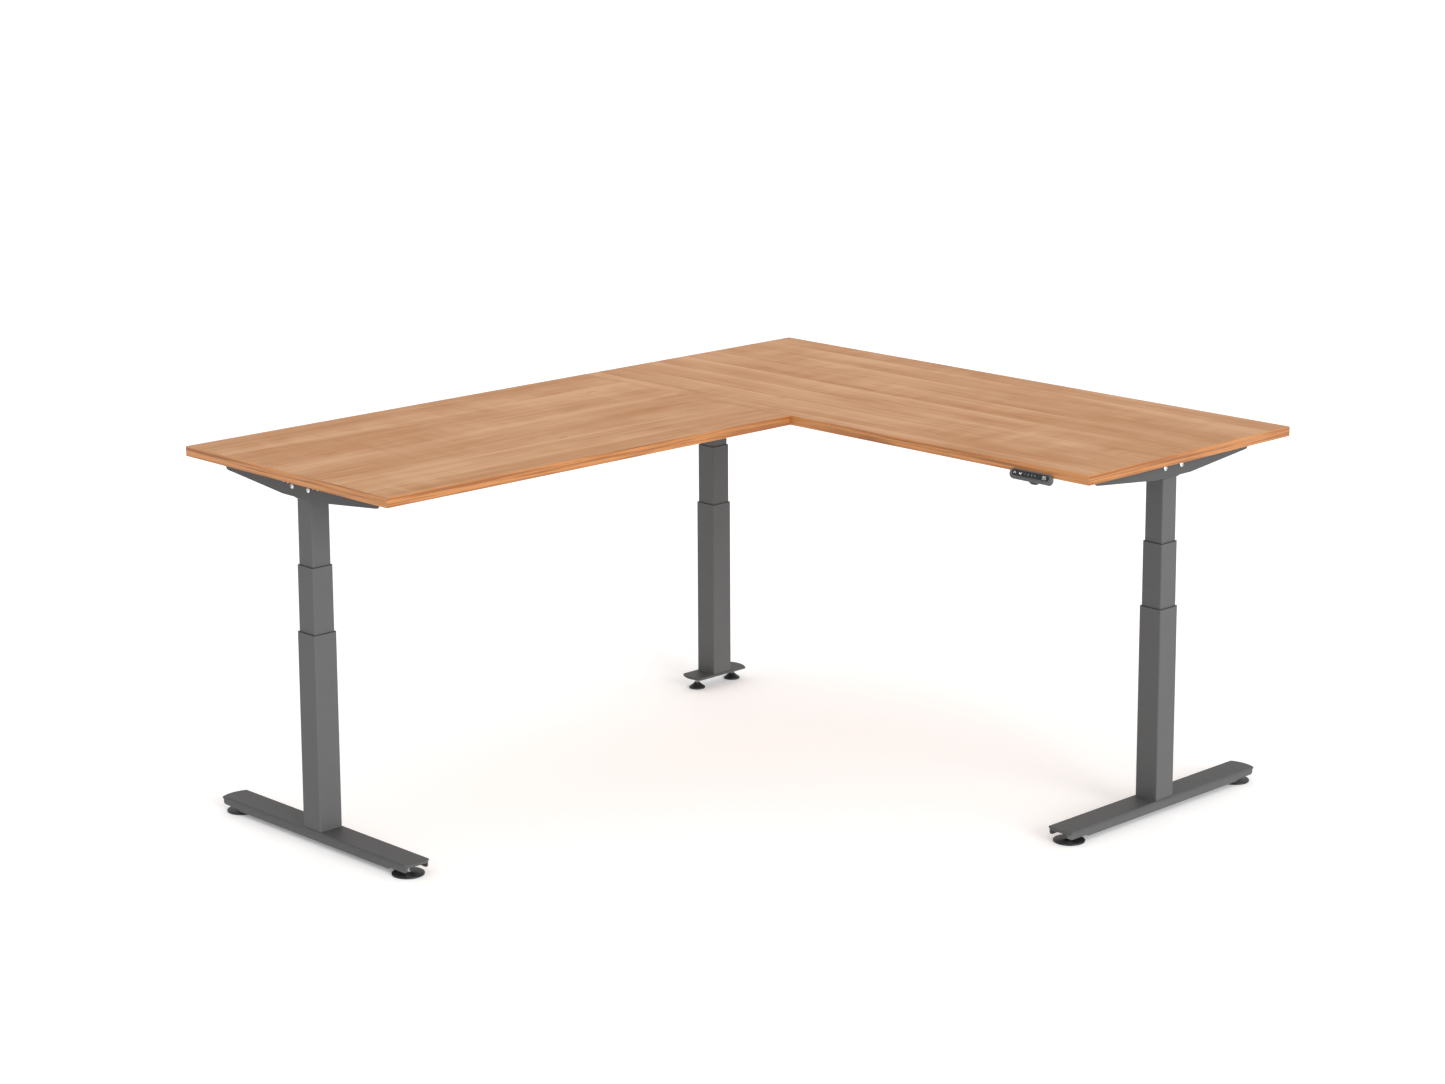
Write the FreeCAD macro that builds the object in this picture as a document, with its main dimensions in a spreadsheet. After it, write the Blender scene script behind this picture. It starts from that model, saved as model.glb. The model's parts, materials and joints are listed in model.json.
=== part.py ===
import FreeCAD, Part
import os
import Sketcher
from FreeCAD import Placement, Rotation, Vector

# L-shaped height adjustable desk on three telescopic columns, in millimetres, +Z up.
# The origin is on the floor, under the middle of the whole outline. The main top runs
# along X at the back, and the side top runs towards -Y from its left end.
# Each leg is drawn round its own axis, in a leg frame: +X along its bracket and foot,
# -Y towards the end of the desk. It is then turned and moved to its place.

DIMENSIONS = {
    # tops
    "main_length": 1800,
    "main_depth": 800,
    "side_width": 800,
    "side_length": 1320,
    "board_thick": 25,
    "edging_thick": 2,
    "edging_round": 1,
    "desk_height": 950,
    # places of the leg axes, in from the ends of the tops
    "right_leg_inset": 96,
    "left_leg_inset": 87,
    "corner_leg_inset": 94,
    # telescopic columns: square tubes, widest at the bottom
    "outer_size": 68,
    "outer_wall": 2,
    "outer_top": 537,
    "middle_size": 61.5,
    "middle_wall": 1.8,
    "middle_low": 205,
    "middle_top": 704.5,
    "inner_size": 55.3,
    "inner_wall": 1.8,
    "inner_low": 372,
    "tube_round": 3.5,
    "glide_lip": 1.5,
    "glide_depth": 80,
    "glide_gap": 0.25,
    # three screw stages inside each column
    "lower_screw_radius": 6,
    "lower_screw_top": 525,
    "screw_flange_size": 60,
    "screw_flange_thick": 8,
    "hollow_screw_radius": 10,
    "hollow_screw_bore": 7,
    "hollow_screw_top": 700,
    "middle_flange_thick": 5,
    "drive_tube_radius": 14,
    "drive_tube_bore": 11,
    "drive_tube_low": 385,
    # feet
    "foot_top": 39,
    "foot_width": 75,
    "foot_half": 377,
    "foot_bow": 9,
    "foot_plate_thick": 7,
    "foot_edge_round": 3,
    "channel_half": 370,
    "channel_width": 66,
    "channel_wall": 3,
    "channel_low": 12.5,
    "channel_end_low": 17,
    "channel_step_near": 300,
    "channel_step_far": 312,
    "channel_end_round": 8,
    "leveller_reach": 334,
    "leveller_radius": 40,
    "leveller_thick": 4.5,
    "leveller_round": 1.5,
    "leveller_neck_radius": 8.5,
    "leveller_neck": 4,
    "leveller_stud_radius": 5,
    "leveller_stud_top": 25.5,
    "boss_radius": 9,
    "boss_low": 18,
    "stud_gap": 0.3,
    # base of the corner leg and its two conical feet
    "base_half": 100,
    "base_bow": 12,
    "base_thick": 8,
    "cone_reach": 69,
    "cone_radius": 23.25,
    "cone_rim": 4.5,
    "cone_neck_radius": 8,
    "cone_neck_low": 15,
    "cone_top": 18,
    "cone_floor": 4,
    "cone_stud_radius": 6,
    "cone_stud_low": 10.5,
    # brackets between the columns and the tops
    "bracket_half": 304,
    "bracket_width": 74,
    "bracket_wall": 3,
    "bracket_end_drop": 26,
    "bracket_drop": 50,
    "bracket_flat": 70,
    "bracket_end_round": 11,
    "collar_size": 66,
    "collar_drop": 6,
    "collar_slope": 5,
    "spindle_hole": 17,
    "drive_screw_reach": 32,
    "drive_screw_drop": 24.5,
    "slot_width": 4,
    "slot_height": 16,
    "slot_top_drop": 5,
    "slot_near": 50,
    "slot_far": 68,
    # gear motors
    "gearbox_half": 42,
    "gearbox_width": 64,
    "gearbox_tall": 40,
    "motor_radius": 19,
    "motor_length": 108,
    "motor_cap_radius": 13,
    "motor_cap": 6,
    # rails under the tops
    "rail_width": 40,
    "rail_tall": 30,
    "rail_wall": 2,
    "rail_reach": 50,
    # plates across the seam of the two tops
    "plate_length": 120,
    "plate_width": 160,
    "plate_thick": 3,
    "plate_left": -790,
    "plate_right": -210,
    # control box under the main top
    "box_length": 250,
    "box_width": 100,
    "box_tall": 34,
    "box_left": 120,
    "box_back": 910,
    "box_round": 5,
    "box_edge_round": 2,
    "box_ear": 14,
    "inlet_width": 28,
    "inlet_tall": 20,
    "inlet_depth": 16,
    "bay_width": 40,
    "bay_tall": 14,
    "bay_depth": 12,
    # keypad under the front edge of the main top
    "keypad_middle": 725,
    "keypad_length": 138,
    "keypad_tall": 26,
    "keypad_round": 12.9,
    "keypad_back_half": 44,
    "keypad_reach": 24,
    "face_tilt": 69.3,
    "face_forward": 8.6,
    "face_centre_drop": 0.6,
    "recess_length": 118,
    "recess_tall": 14,
    "recess_depth": 2.6,
    "panel_thick": 1.2,
    "key_thick": 1.8,
    "key_gap": 0.3,
    "arrow_key_length": 12,
    "memory_key_length": 8,
    "key_tall": 8,
    # screws
    "drive_screw_radius": 4,
    "drive_head_radius": 7,
    "drive_head": 4.4,
    "drive_rim": 1.2,
    "drive_screw_length": 12,
    "drive_socket": 2.9,
    "drive_socket_depth": 2.6,
    "wood_screw_radius": 2.5,
    "wood_head_radius": 5,
    "wood_head": 3,
    "wood_rim": 0.8,
    "wood_socket": 1.9,
    "wood_socket_depth": 1.6,
    "wood_screw_length": 18,
    "screw_hole_gap": 0.25,
}

# How a sketch names the points of its curves, and its own origin.
START_POINT = 1
END_POINT = 2
SKETCH_ORIGIN = (-1, 1)

doc = FreeCAD.newDocument("desk")


def make_sheet():
    """The driving dimensions, one plain number to a cell, each with its alias."""
    sheet = doc.addObject("Spreadsheet::Sheet", "dims")
    for row, (alias, value) in enumerate(DIMENSIONS.items(), start=1):
        sheet.set(f"A{row}", alias)
        sheet.set(f"B{row}", str(value))
        sheet.setAlias(f"B{row}", alias)
    doc.recompute()


def on_sheet(text):
    """A sum of aliases and numbers, such as 'foot_top - base_thick', as an expression."""
    words = text.replace("(", " ( ").replace(")", " ) ").split()
    return " ".join(f"dims.{word}" if word in DIMENSIONS else word for word in words)


def bind(thing, **sums):
    for name, text in sums.items():
        thing.setExpression(name, on_sheet(text))


def put(thing, spot, turn=None):
    """Place a thing: three sums for its base, and a fixed turn as (axis, degrees)."""
    if turn is not None:
        thing.Placement = Placement(Vector(), Rotation(Vector(*turn[0]), turn[1]))
    for axis, text in zip("xyz", spot):
        thing.setExpression(f"Placement.Base.{axis}", on_sheet(text))


class Piece:
    """One sub-part: a PartDesign body whose features are bound to the sheet."""

    def __init__(self, name):
        self.body = doc.addObject("PartDesign::Body", name)
        self.body.Label = name

    def primitive(self, kind, cut, spot, turn, **sums):
        word = "Subtractive" if cut else "Additive"
        feature = self.body.newObject(f"PartDesign::{word}{kind}", kind)
        bind(feature, **sums)
        put(feature, spot, turn)
        doc.recompute()
        return self

    def block(self, size, middle, low, cut=False, turn=None):
        """A box of size (x, y, z) round the middle (x, y), with its lowest face at low."""
        spot = [f"({middle[i]}) - ({size[i]}) / 2" for i in range(2)]
        sums = {"Length": size[0], "Width": size[1], "Height": size[2]}
        return self.primitive("Box", cut, [*spot, low], turn, **sums)

    def cylinder(self, radius, length, spot, cut=False, turn=None):
        return self.primitive("Cylinder", cut, spot, turn, Radius=radius, Height=length)

    def cone(self, low_radius, top_radius, length, spot):
        sums = {"Radius1": low_radius, "Radius2": top_radius, "Height": length}
        return self.primitive("Cone", False, spot, None, **sums)

    def outline(self, plane, points, thickness, bows=()):
        """Pad a closed outline, half each side of its plane. The points are pairs of
        sums, anticlockwise. A side in bows, {side: radius}, is an arc bulging outwards."""
        bows = dict(bows)
        sketch = self.body.newObject("Sketcher::SketchObject", "Outline")
        role = [f for f in self.body.Origin.OriginFeatures if f.Role == plane][0]
        sketch.AttachmentSupport = [(role, "")]
        sketch.MapMode = "FlatFace"
        values = [[measure(text) for text in point] for point in points]
        corners = [Vector(x, y, 0) for x, y in values]
        count = len(corners)
        for side, start in enumerate(corners):
            end = corners[(side + 1) % count]
            line = Part.LineSegment(start, end)
            if side in bows:
                line = bowed(start, end, measure(bows[side]))
            sketch.addGeometry(line, False)
        for side in range(count):
            after = (side + 1) % count
            sketch.addConstraint(Sketcher.Constraint(
                "Coincident", side, END_POINT, after, START_POINT))
        for side, point in enumerate(points):
            for word, text in zip(("DistanceX", "DistanceY"), point):
                number = sketch.addConstraint(Sketcher.Constraint(
                    word, *SKETCH_ORIGIN, side, START_POINT, measure(text)))
                sketch.setExpression(f"Constraints[{number}]", on_sheet(text))
        for side, text in bows.items():
            number = sketch.addConstraint(Sketcher.Constraint("Radius", side, measure(text)))
            sketch.setExpression(f"Constraints[{number}]", on_sheet(text))
        pad = self.body.newObject("PartDesign::Pad", "Pad")
        pad.Profile = sketch
        pad.Midplane = True
        bind(pad, Length=thickness)
        doc.recompute()
        return self

    def dress(self, kind, name, size, choose):
        """Round or slope the edges that the test picks, on the body as it is so far."""
        tip = self.body.Tip
        edges = [f"Edge{i}" for i, edge in enumerate(tip.Shape.Edges, start=1) if choose(edge)]
        feature = self.body.newObject(f"PartDesign::{kind}", kind)
        feature.Base = (tip, edges)
        bind(feature, **{name: size})
        doc.recompute()
        return self

    def round(self, radius, choose):
        return self.dress("Fillet", "Radius", radius, choose)

    def slope(self, size, choose):
        return self.dress("Chamfer", "Size", size, choose)

    def at_leg(self, leg):
        axis, degrees = LEGS[leg]
        put(self.body, [*axis, "0"], ((0, 0, 1), degrees))
        return self


def measure(text):
    """The value that a sum of aliases has now, for a sketch's first drawing."""
    words = text.replace("(", " ( ").replace(")", " ) ").split()
    total = " ".join(str(DIMENSIONS.get(word, word)) for word in words)
    quantity = FreeCAD.Units.Quantity(f"({total}) * 1 mm")
    return quantity.Value


def bowed(start, end, radius):
    """An arc from start to end, bulging to the right of the way along it."""
    chord = end - start
    half = chord.Length / 2
    rise = radius - (radius ** 2 - half ** 2) ** 0.5
    outward = Vector(chord.y, -chord.x, 0).normalize()
    return Part.Arc(start, (start + end) / 2 + outward * rise, end)


def along(axis):
    """A test for straight edges that run along an axis of the piece."""
    def test(edge):
        if edge.Curve.TypeId != "Part::GeomLine":
            return False
        return abs(edge.Curve.Direction.dot(Vector(*axis))) > 0.999
    return test


def at_height(level):
    """A test for edges that lie flat at a height."""
    def test(edge):
        box = edge.BoundBox
        return abs(box.ZMin - level) < 0.01 and abs(box.ZMax - level) < 0.01
    return test


# Where the wood screws go: along a bracket, and across a seam plate.
BRACKET_SCREWS = ("-270", "-190", "190", "270")
PLATE_SCREWS = [(across, forward) for across in ("-30", "30")
                for forward in ("-60", "-25", "25", "60")]

# Leg axes, as sums for X and Y, and the turn of each leg frame about Z.
LEGS = {
    "left": (("side_width / 2 - main_length / 2",
              "left_leg_inset - side_length / 2 - main_depth / 2"), 0),
    "right": (("main_length / 2 - right_leg_inset", "side_length / 2"), 90),
    "corner": (("corner_leg_inset - main_length / 2", "side_length / 2"), -90),
}
UNDERSIDE = "desk_height - board_thick"
SEAM = "side_length / 2 - main_depth / 2"
MAIN_MIDDLE = ("0", "side_length / 2")
SIDE_MIDDLE = ("side_width / 2 - main_length / 2", "0 - main_depth / 2")
OUTSIDE_Y = "0 - bracket_width / 2"


def leg_spot(leg, along_x, along_y):
    """A spot given in a leg's frame, as sums for X and Y."""
    (x, y), degrees = LEGS[leg]
    if degrees == 0:
        return f"({x}) + ({along_x})", f"({y}) + ({along_y})"
    if degrees == 90:
        return f"({x}) - ({along_y})", f"({y}) + ({along_x})"
    return f"({x}) + ({along_y})", f"({y}) - ({along_x})"


def make_top(name, size, middle):
    """A board and the edging round its four sides."""
    inside = [f"{side} - 2 * edging_thick" for side in size]
    Piece(name).block([*inside, "board_thick"], middle, UNDERSIDE)
    edging = Piece(name + "_edging").block([*size, "board_thick"], middle, UNDERSIDE)
    edging.round("edging_round", lambda edge: True)
    edging.block([*inside, "board_thick"], middle, UNDERSIDE, cut=True)


def square(side, height):
    return [side, side, height]


def make_tube(name, leg, size, wall, low, top):
    """A square tube with rounded corners, open at both ends."""
    tube = Piece(name).block(square(size, f"({top}) - ({low})"), ("0", "0"), low)
    tube.round("tube_round", along((0, 0, 1)))
    hollow = square(f"{size} - 2 * {wall}", f"({top}) - ({low})")
    tube.block(hollow, ("0", "0"), low, cut=True)
    tube.at_leg(leg)


def make_glide(name, leg, size, wall, top, guided):
    """The plastic guide at a tube's mouth: a lip on its end and a lining inside it."""
    glide = Piece(name).block(square(size, "glide_lip"), ("0", "0"), f"{top} - glide_lip")
    glide.round("tube_round", along((0, 0, 1)))
    lining = square(f"{size} - 2 * {wall}", "glide_depth")
    low = f"{top} - glide_lip - glide_depth"
    glide.block(lining, ("0", "0"), low)
    mouth = square(f"{guided} + 2 * glide_gap", "glide_lip + glide_depth")
    glide.block(mouth, ("0", "0"), low, cut=True)
    glide.at_leg(leg)


def make_column(leg):
    """Three tubes, the two guides between them, and the three screw stages inside."""
    make_tube(f"{leg}_outer_tube", leg, "outer_size", "outer_wall",
              "foot_top", "outer_top - glide_lip")
    make_glide(f"{leg}_lower_glide", leg, "outer_size", "outer_wall",
               "outer_top", "middle_size")
    make_tube(f"{leg}_middle_tube", leg, "middle_size", "middle_wall",
              "middle_low", "middle_top - glide_lip")
    make_glide(f"{leg}_upper_glide", leg, "middle_size", "middle_wall",
               "middle_top", "inner_size")
    make_tube(f"{leg}_inner_tube", leg, "inner_size", "inner_wall",
              "inner_low", f"{UNDERSIDE} - bracket_drop")

    screw = Piece(f"{leg}_lower_screw")
    screw.block(square("screw_flange_size", "screw_flange_thick"), ("0", "0"), "foot_top")
    screw.cylinder("lower_screw_radius", "lower_screw_top - foot_top", ("0", "0", "foot_top"))
    screw.at_leg(leg)

    hollow = Piece(f"{leg}_hollow_screw")
    flange = square("middle_size - 2 * middle_wall", "middle_flange_thick")
    hollow.block(flange, ("0", "0"), "middle_low")
    length = "hollow_screw_top - middle_low"
    hollow.cylinder("hollow_screw_radius", length, ("0", "0", "middle_low"))
    hollow.cylinder("hollow_screw_bore", length, ("0", "0", "middle_low"), cut=True)
    hollow.at_leg(leg)

    drive = Piece(f"{leg}_drive_tube")
    length = f"{UNDERSIDE} - bracket_drop + bracket_wall - drive_tube_low"
    drive.cylinder("drive_tube_radius", length, ("0", "0", "drive_tube_low"))
    drive.cylinder("drive_tube_bore", length, ("0", "0", "drive_tube_low"), cut=True)
    drive.at_leg(leg)


def make_foot_plate(name, leg, half, bow, thick):
    """A long plate with bowed ends and rounded edges, under the column."""
    reach = f"{half} - {bow}"
    side = "foot_width / 2"
    points = [(f"0 - ({reach})", f"0 - {side}"), (reach, f"0 - {side}"),
              (reach, side), (f"0 - ({reach})", side)]
    radius = f"(({side}) * ({side}) + {bow} * {bow}) / (2 * {bow})"
    plate = Piece(name).outline("XY_Plane", points, thick, {1: radius, 3: radius})
    for level in (-1, 1):
        plate.round("foot_edge_round", at_height(level * measure(thick) / 2))
    return plate


def lift_plate(plate, leg, thick):
    axis, degrees = LEGS[leg]
    put(plate.body, [*axis, f"foot_top - {thick} / 2"], ((0, 0, 1), degrees))


def make_t_foot(leg):
    """A top plate over a downward channel, with a threaded boss over each leveller."""
    plate = make_foot_plate(f"{leg}_foot_plate", leg, "foot_half", "foot_bow",
                            "foot_plate_thick")
    lift_plate(plate, leg, "foot_plate_thick")

    top = "foot_top - foot_plate_thick"
    right_side = [("channel_half", top), ("channel_half", "channel_end_low"),
                  ("channel_step_far", "channel_end_low"),
                  ("channel_step_near", "channel_low")]
    left_side = [(f"0 - {x}", z) for x, z in reversed(right_side)]
    channel = Piece(f"{leg}_foot_channel")
    channel.outline("XZ_Plane", left_side + right_side, "channel_width")
    ends = measure("channel_half")
    low = measure("channel_end_low")
    channel.round("channel_end_round", lambda edge: along((0, 1, 0))(edge)
                  and abs(abs(edge.Vertexes[0].X) - ends) < 0.01
                  and abs(edge.Vertexes[0].Z - low) < 0.01)
    hollow = ["2 * channel_half + 2", "channel_width - 2 * channel_wall",
              f"{top} - channel_wall"]
    channel.block(hollow, ("0", "0"), "0", cut=True)
    for side in ("0 - leveller_reach", "leveller_reach"):
        web = f"{top} - channel_wall"
        channel.cylinder("boss_radius", f"{web} - boss_low", (side, "0", "boss_low"))
        channel.cylinder("leveller_stud_radius + stud_gap", f"{top} - boss_low",
                         (side, "0", "boss_low"), cut=True)
    channel.at_leg(leg)


def make_disc_leveller(name, leg, side):
    """A flat disc foot on its threaded stud."""
    disc = Piece(name).cylinder("leveller_radius", "leveller_thick", ("0", "0", "0"))
    disc.round("leveller_round", at_height(measure("leveller_thick")))
    disc.cylinder("leveller_neck_radius", "leveller_neck", ("0", "0", "leveller_thick"))
    disc.cylinder("leveller_stud_radius", "leveller_stud_top - leveller_thick",
                  ("0", "0", "leveller_thick"))
    put(disc.body, [*leg_spot(leg, f"{side} * leveller_reach", "0"), "0"])


def make_cone_leveller(name, leg, side):
    """A conical foot, bored for the stud that it screws up and down on."""
    cone = Piece(name).cylinder("cone_radius", "cone_rim", ("0", "0", "0"))
    cone.cone("cone_radius", "cone_neck_radius", "cone_neck_low - cone_rim",
              ("0", "0", "cone_rim"))
    cone.cylinder("cone_neck_radius", "cone_top - cone_neck_low",
                  ("0", "0", "cone_neck_low"))
    cone.cylinder("cone_stud_radius + stud_gap", "cone_top - cone_floor",
                  ("0", "0", "cone_floor"), cut=True)
    put(cone.body, [*leg_spot(leg, f"{side} * cone_reach", "0"), "0"])


def make_corner_base():
    """A short plate under the corner column, with two studs welded under it."""
    plate = make_foot_plate("corner_base_plate", "corner", "base_half", "base_bow",
                            "base_thick")
    for side in ("0 - cone_reach", "cone_reach"):
        low = "cone_stud_low - foot_top + base_thick / 2"
        plate.cylinder("cone_stud_radius", "foot_top - base_thick - cone_stud_low + 1",
                       (side, "0", low))
    lift_plate(plate, "corner", "base_thick")


def make_bracket(leg):
    """A sheet channel under the top, deep over the column and shallow at its ends."""
    deep = f"{UNDERSIDE} - bracket_drop"
    right_side = [("bracket_half", UNDERSIDE),
                  ("bracket_half", f"{UNDERSIDE} - bracket_end_drop"),
                  ("bracket_flat", deep)]
    left_side = [(f"0 - {x}", z) for x, z in reversed(right_side)]
    bracket = Piece(f"{leg}_bracket").outline("XZ_Plane", left_side + right_side,
                                              "bracket_width")
    ends = measure("bracket_half")
    bracket.round("bracket_end_round", lambda edge: along((0, 1, 0))(edge)
                  and abs(abs(edge.Vertexes[0].X) - ends) < 0.01
                  and edge.Vertexes[0].Z < measure(UNDERSIDE) - 1)
    bracket.round("bracket_wall", lambda edge: along((1, 0, 0))(edge)
                  and edge.Vertexes[0].Z > measure(UNDERSIDE) - 1)
    bracket.block(square("collar_size", "collar_drop"), ("0", "0"), f"{deep} - collar_drop")
    bracket.slope("collar_slope", at_height(measure(f"{deep} - collar_drop")))

    gap = "bracket_width - 2 * bracket_wall"
    inside = ["2 * bracket_half + 2", gap, "bracket_drop - 2 * bracket_wall"]
    bracket.block(inside, ("0", "0"), f"{deep} + bracket_wall", cut=True)
    for side in ("0 - 1", "1"):
        open_length = "bracket_half + 1 - bracket_flat"
        middle = f"{side} * (bracket_half + 1 + bracket_flat) / 2"
        below = [open_length, gap, "bracket_drop - bracket_wall"]
        bracket.block(below, (middle, "0"), deep, cut=True)
    bracket.block(square("inner_size", "collar_drop"), ("0", "0"),
                  f"{deep} - collar_drop", cut=True)
    bracket.cylinder("spindle_hole", "bracket_wall", ("0", "0", deep), cut=True)

    to_front = ((1, 0, 0), 90)
    for side in ("0 - drive_screw_reach", "drive_screw_reach"):
        spot = (side, "bracket_wall - bracket_width / 2", f"{UNDERSIDE} - drive_screw_drop")
        bracket.cylinder("drive_screw_radius + screw_hole_gap", "bracket_wall + 1", spot,
                         cut=True, turn=to_front)
    for reach in ("slot_near", "slot_far"):
        for side in ("0 - 1", "1"):
            size = ["slot_width", "bracket_wall + 1", "slot_height"]
            middle = (f"{side} * {reach}", "(bracket_wall - bracket_width - 1) / 2")
            bracket.block(size, middle, f"{UNDERSIDE} - slot_top_drop - slot_height", cut=True)
    for reach in BRACKET_SCREWS:
        bracket.cylinder("wood_screw_radius + screw_hole_gap", "bracket_wall",
                         (reach, "0", f"{UNDERSIDE} - bracket_wall"), cut=True)
    bracket.at_leg(leg)


def make_gear_motor(leg):
    """A right-angle gearbox on the column, with its motor lying in the bracket."""
    low = f"{UNDERSIDE} - bracket_drop + bracket_wall"
    motor = Piece(f"{leg}_gear_motor")
    motor.block(["2 * gearbox_half", "gearbox_width", "gearbox_tall"], ("0", "0"), low)
    motor.round("tube_round", along((0, 0, 1)))
    along_x = ((0, 1, 0), 90)
    middle = f"{low} + gearbox_tall / 2 + 2"
    motor.cylinder("motor_radius", "motor_length", ("gearbox_half", "0", middle), turn=along_x)
    motor.cylinder("motor_cap_radius", "motor_cap",
                   ("gearbox_half + motor_length", "0", middle), turn=along_x)
    to_front = ((1, 0, 0), 90)
    height = f"{UNDERSIDE} - drive_screw_drop"
    for side in ("0 - drive_screw_reach", "drive_screw_reach"):
        face = "bracket_width / 2 - bracket_wall - gearbox_width / 2"
        motor.cylinder("drive_screw_radius * 2", f"{face} + 1",
                       (side, "1 - gearbox_width / 2", height), turn=to_front)
        motor.cylinder("drive_screw_radius + screw_hole_gap", "drive_screw_length",
                       (side, "drive_screw_length - bracket_width / 2", height),
                       cut=True, turn=to_front)
    motor.at_leg(leg)


def make_rail(name, size, middle, axis):
    """A rectangular tube under a top. The axis, 0 or 1, is the one it runs along."""
    low = f"{UNDERSIDE} - rail_tall"
    rail = Piece(name).block([*size, "rail_tall"], middle, low)
    rail.round("tube_round", along((1 - axis, axis, 0)))
    bore = [f"{side} - 2 * rail_wall" for side in size]
    bore[axis] = f"{size[axis]} + 2"
    rail.block([*bore, "rail_tall - 2 * rail_wall"], middle, f"{low} + rail_wall", cut=True)


def make_rails():
    """Two rails from the corner bracket to the right one, and two from the main
    frame to the left bracket."""
    start = "corner_leg_inset + bracket_width / 2 - main_length / 2"
    end = "main_length / 2 - right_leg_inset - bracket_width / 2"
    for word, side in (("rear", "rail_reach"), ("front", "0 - rail_reach")):
        middle = (f"(({start}) + ({end})) / 2", f"side_length / 2 + {side}")
        make_rail(f"main_rail_{word}", [f"({end}) - ({start})", "rail_width"], middle, 0)

    low_end = f"({LEGS['left'][0][1]}) + bracket_width / 2"
    high_end = "side_length / 2 - rail_reach - rail_width / 2"
    for word, side in (("left", "0 - rail_reach"), ("right", "rail_reach")):
        middle = (f"{LEGS['left'][0][0]} + {side}", f"(({low_end}) + ({high_end})) / 2")
        make_rail(f"side_rail_{word}", ["rail_width", f"({high_end}) - ({low_end})"],
                  middle, 1)


def make_control_box():
    """The electronics box: screw ears at its ends, and two sockets facing the right."""
    low = f"{UNDERSIDE} - box_tall"
    middle_x = "box_left + box_length / 2"
    middle_y = "box_back - box_width / 2"
    box = Piece("control_box").block(["box_length", "box_width", "box_tall"],
                                     (middle_x, middle_y), low)
    box.round("box_round", along((0, 0, 1)))
    box.round("box_edge_round", at_height(measure(low)))
    ears = ["box_length + 2 * box_ear", "box_width / 2", "plate_thick"]
    box.block(ears, (middle_x, middle_y), f"{UNDERSIDE} - plate_thick")
    for side in ("0 - 1", "1"):
        spot = (f"{middle_x} + {side} * (box_length / 2 + box_ear / 2)", middle_y,
                f"{UNDERSIDE} - plate_thick")
        box.cylinder("wood_screw_radius + screw_hole_gap", "plate_thick", spot, cut=True)
    right = "box_left + box_length"
    inlet = ["inlet_depth + 1", "inlet_width", "inlet_tall"]
    box.block(inlet, (f"{right} + (1 - inlet_depth) / 2", f"{middle_y} - box_width / 4"),
              f"{low} + 5", cut=True)
    bay = ["bay_depth + 1", "bay_width", "bay_tall"]
    box.block(bay, (f"{right} + (1 - bay_depth) / 2", f"{middle_y} + box_width / 5"),
              f"{low} + 8", cut=True)


# The keypad's face is a plane tilted up from the front edge. Its frame has +X along
# the edge, +Y up the face and +Z out of it.
FACE_TURN = ((1, 0, 0), DIMENSIONS["face_tilt"])
FACE_SPOT = ("keypad_middle", f"{SEAM} - face_forward", f"{UNDERSIDE} - face_centre_drop")

# Keys on the panel: name, place along the panel from its middle, and length.
KEYS = (
    ("up_key", "-49", "arrow_key_length"),
    ("down_key", "-32", "arrow_key_length"),
    ("memory_key_1", "-17.5", "memory_key_length"),
    ("memory_key_2", "-7", "memory_key_length"),
    ("memory_key_3", "3.5", "memory_key_length"),
    ("memory_key_4", "14", "memory_key_length"),
)


def face_block(name, size, middle, low, corner, cuts=()):
    """A rounded block in the frame of the keypad's face, with openings for keys."""
    piece = Piece(name).block(size, middle, low)
    piece.round(corner, along((0, 0, 1)))
    for place, length in cuts:
        opening = [f"{length} + 2 * key_gap", "key_tall + 2 * key_gap", size[2]]
        piece.block(opening, (place, "0"), low, cut=True)
    put(piece.body, FACE_SPOT, FACE_TURN)
    return piece


def make_keypad():
    """A moulded housing with a dark panel let into its face, and six short-travel keys."""
    # side view of the housing: (behind the edge, above the underside)
    side = [("-5", "8.5"), ("-12", "-10"), ("-8", "-17.5"), ("-3", "-18.5"), ("6", "-16"),
            ("keypad_reach", "-8"), ("keypad_reach", "0"), ("-1", "0"), ("-1", "8.5")]
    form = Piece("keypad_form").outline("YZ_Plane", side, "keypad_length")
    put(form.body, ("keypad_middle", SEAM, UNDERSIDE))
    # plan of the housing, which narrows towards its back: (along the edge, behind it)
    half = "keypad_length / 2"
    plan = [(f"0 - {half}", "-14"), (half, "-14"), (half, "-4"),
            ("keypad_back_half", "keypad_reach"), ("0 - keypad_back_half", "keypad_reach"),
            (f"0 - {half}", "-4")]
    top_view = Piece("keypad_plan").outline("XY_Plane", plan, "60")
    put(top_view.body, ("keypad_middle", SEAM, UNDERSIDE))
    face_block("keypad_stadium", ["keypad_length", "keypad_tall", "90"],
               ("0", "0 - 3"), "0 - 80", "keypad_round")
    face_block("keypad_recess", ["recess_length", "recess_tall", "recess_depth + 5"],
               ("0", "0"), "0 - recess_depth", "recess_tall / 2 - 0.05")
    shell = doc.addObject("Part::MultiCommon", "keypad_shell")
    shell.Shapes = [doc.keypad_form, doc.keypad_plan, doc.keypad_stadium]
    housing = doc.addObject("Part::Cut", "keypad_housing")
    housing.Base = shell
    housing.Tool = doc.keypad_recess
    housing.Label = "keypad_housing"

    openings = [(place, length) for _, place, length in KEYS]
    face_block("keypad_panel", ["recess_length", "recess_tall", "panel_thick"],
               ("0", "0"), "0 - panel_thick", "recess_tall / 2 - 0.05", openings)
    for name, place, length in KEYS:
        face_block(name, [length, "key_tall", "key_thick"], (place, "0"),
                   "0 - key_thick", "1.5")


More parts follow.
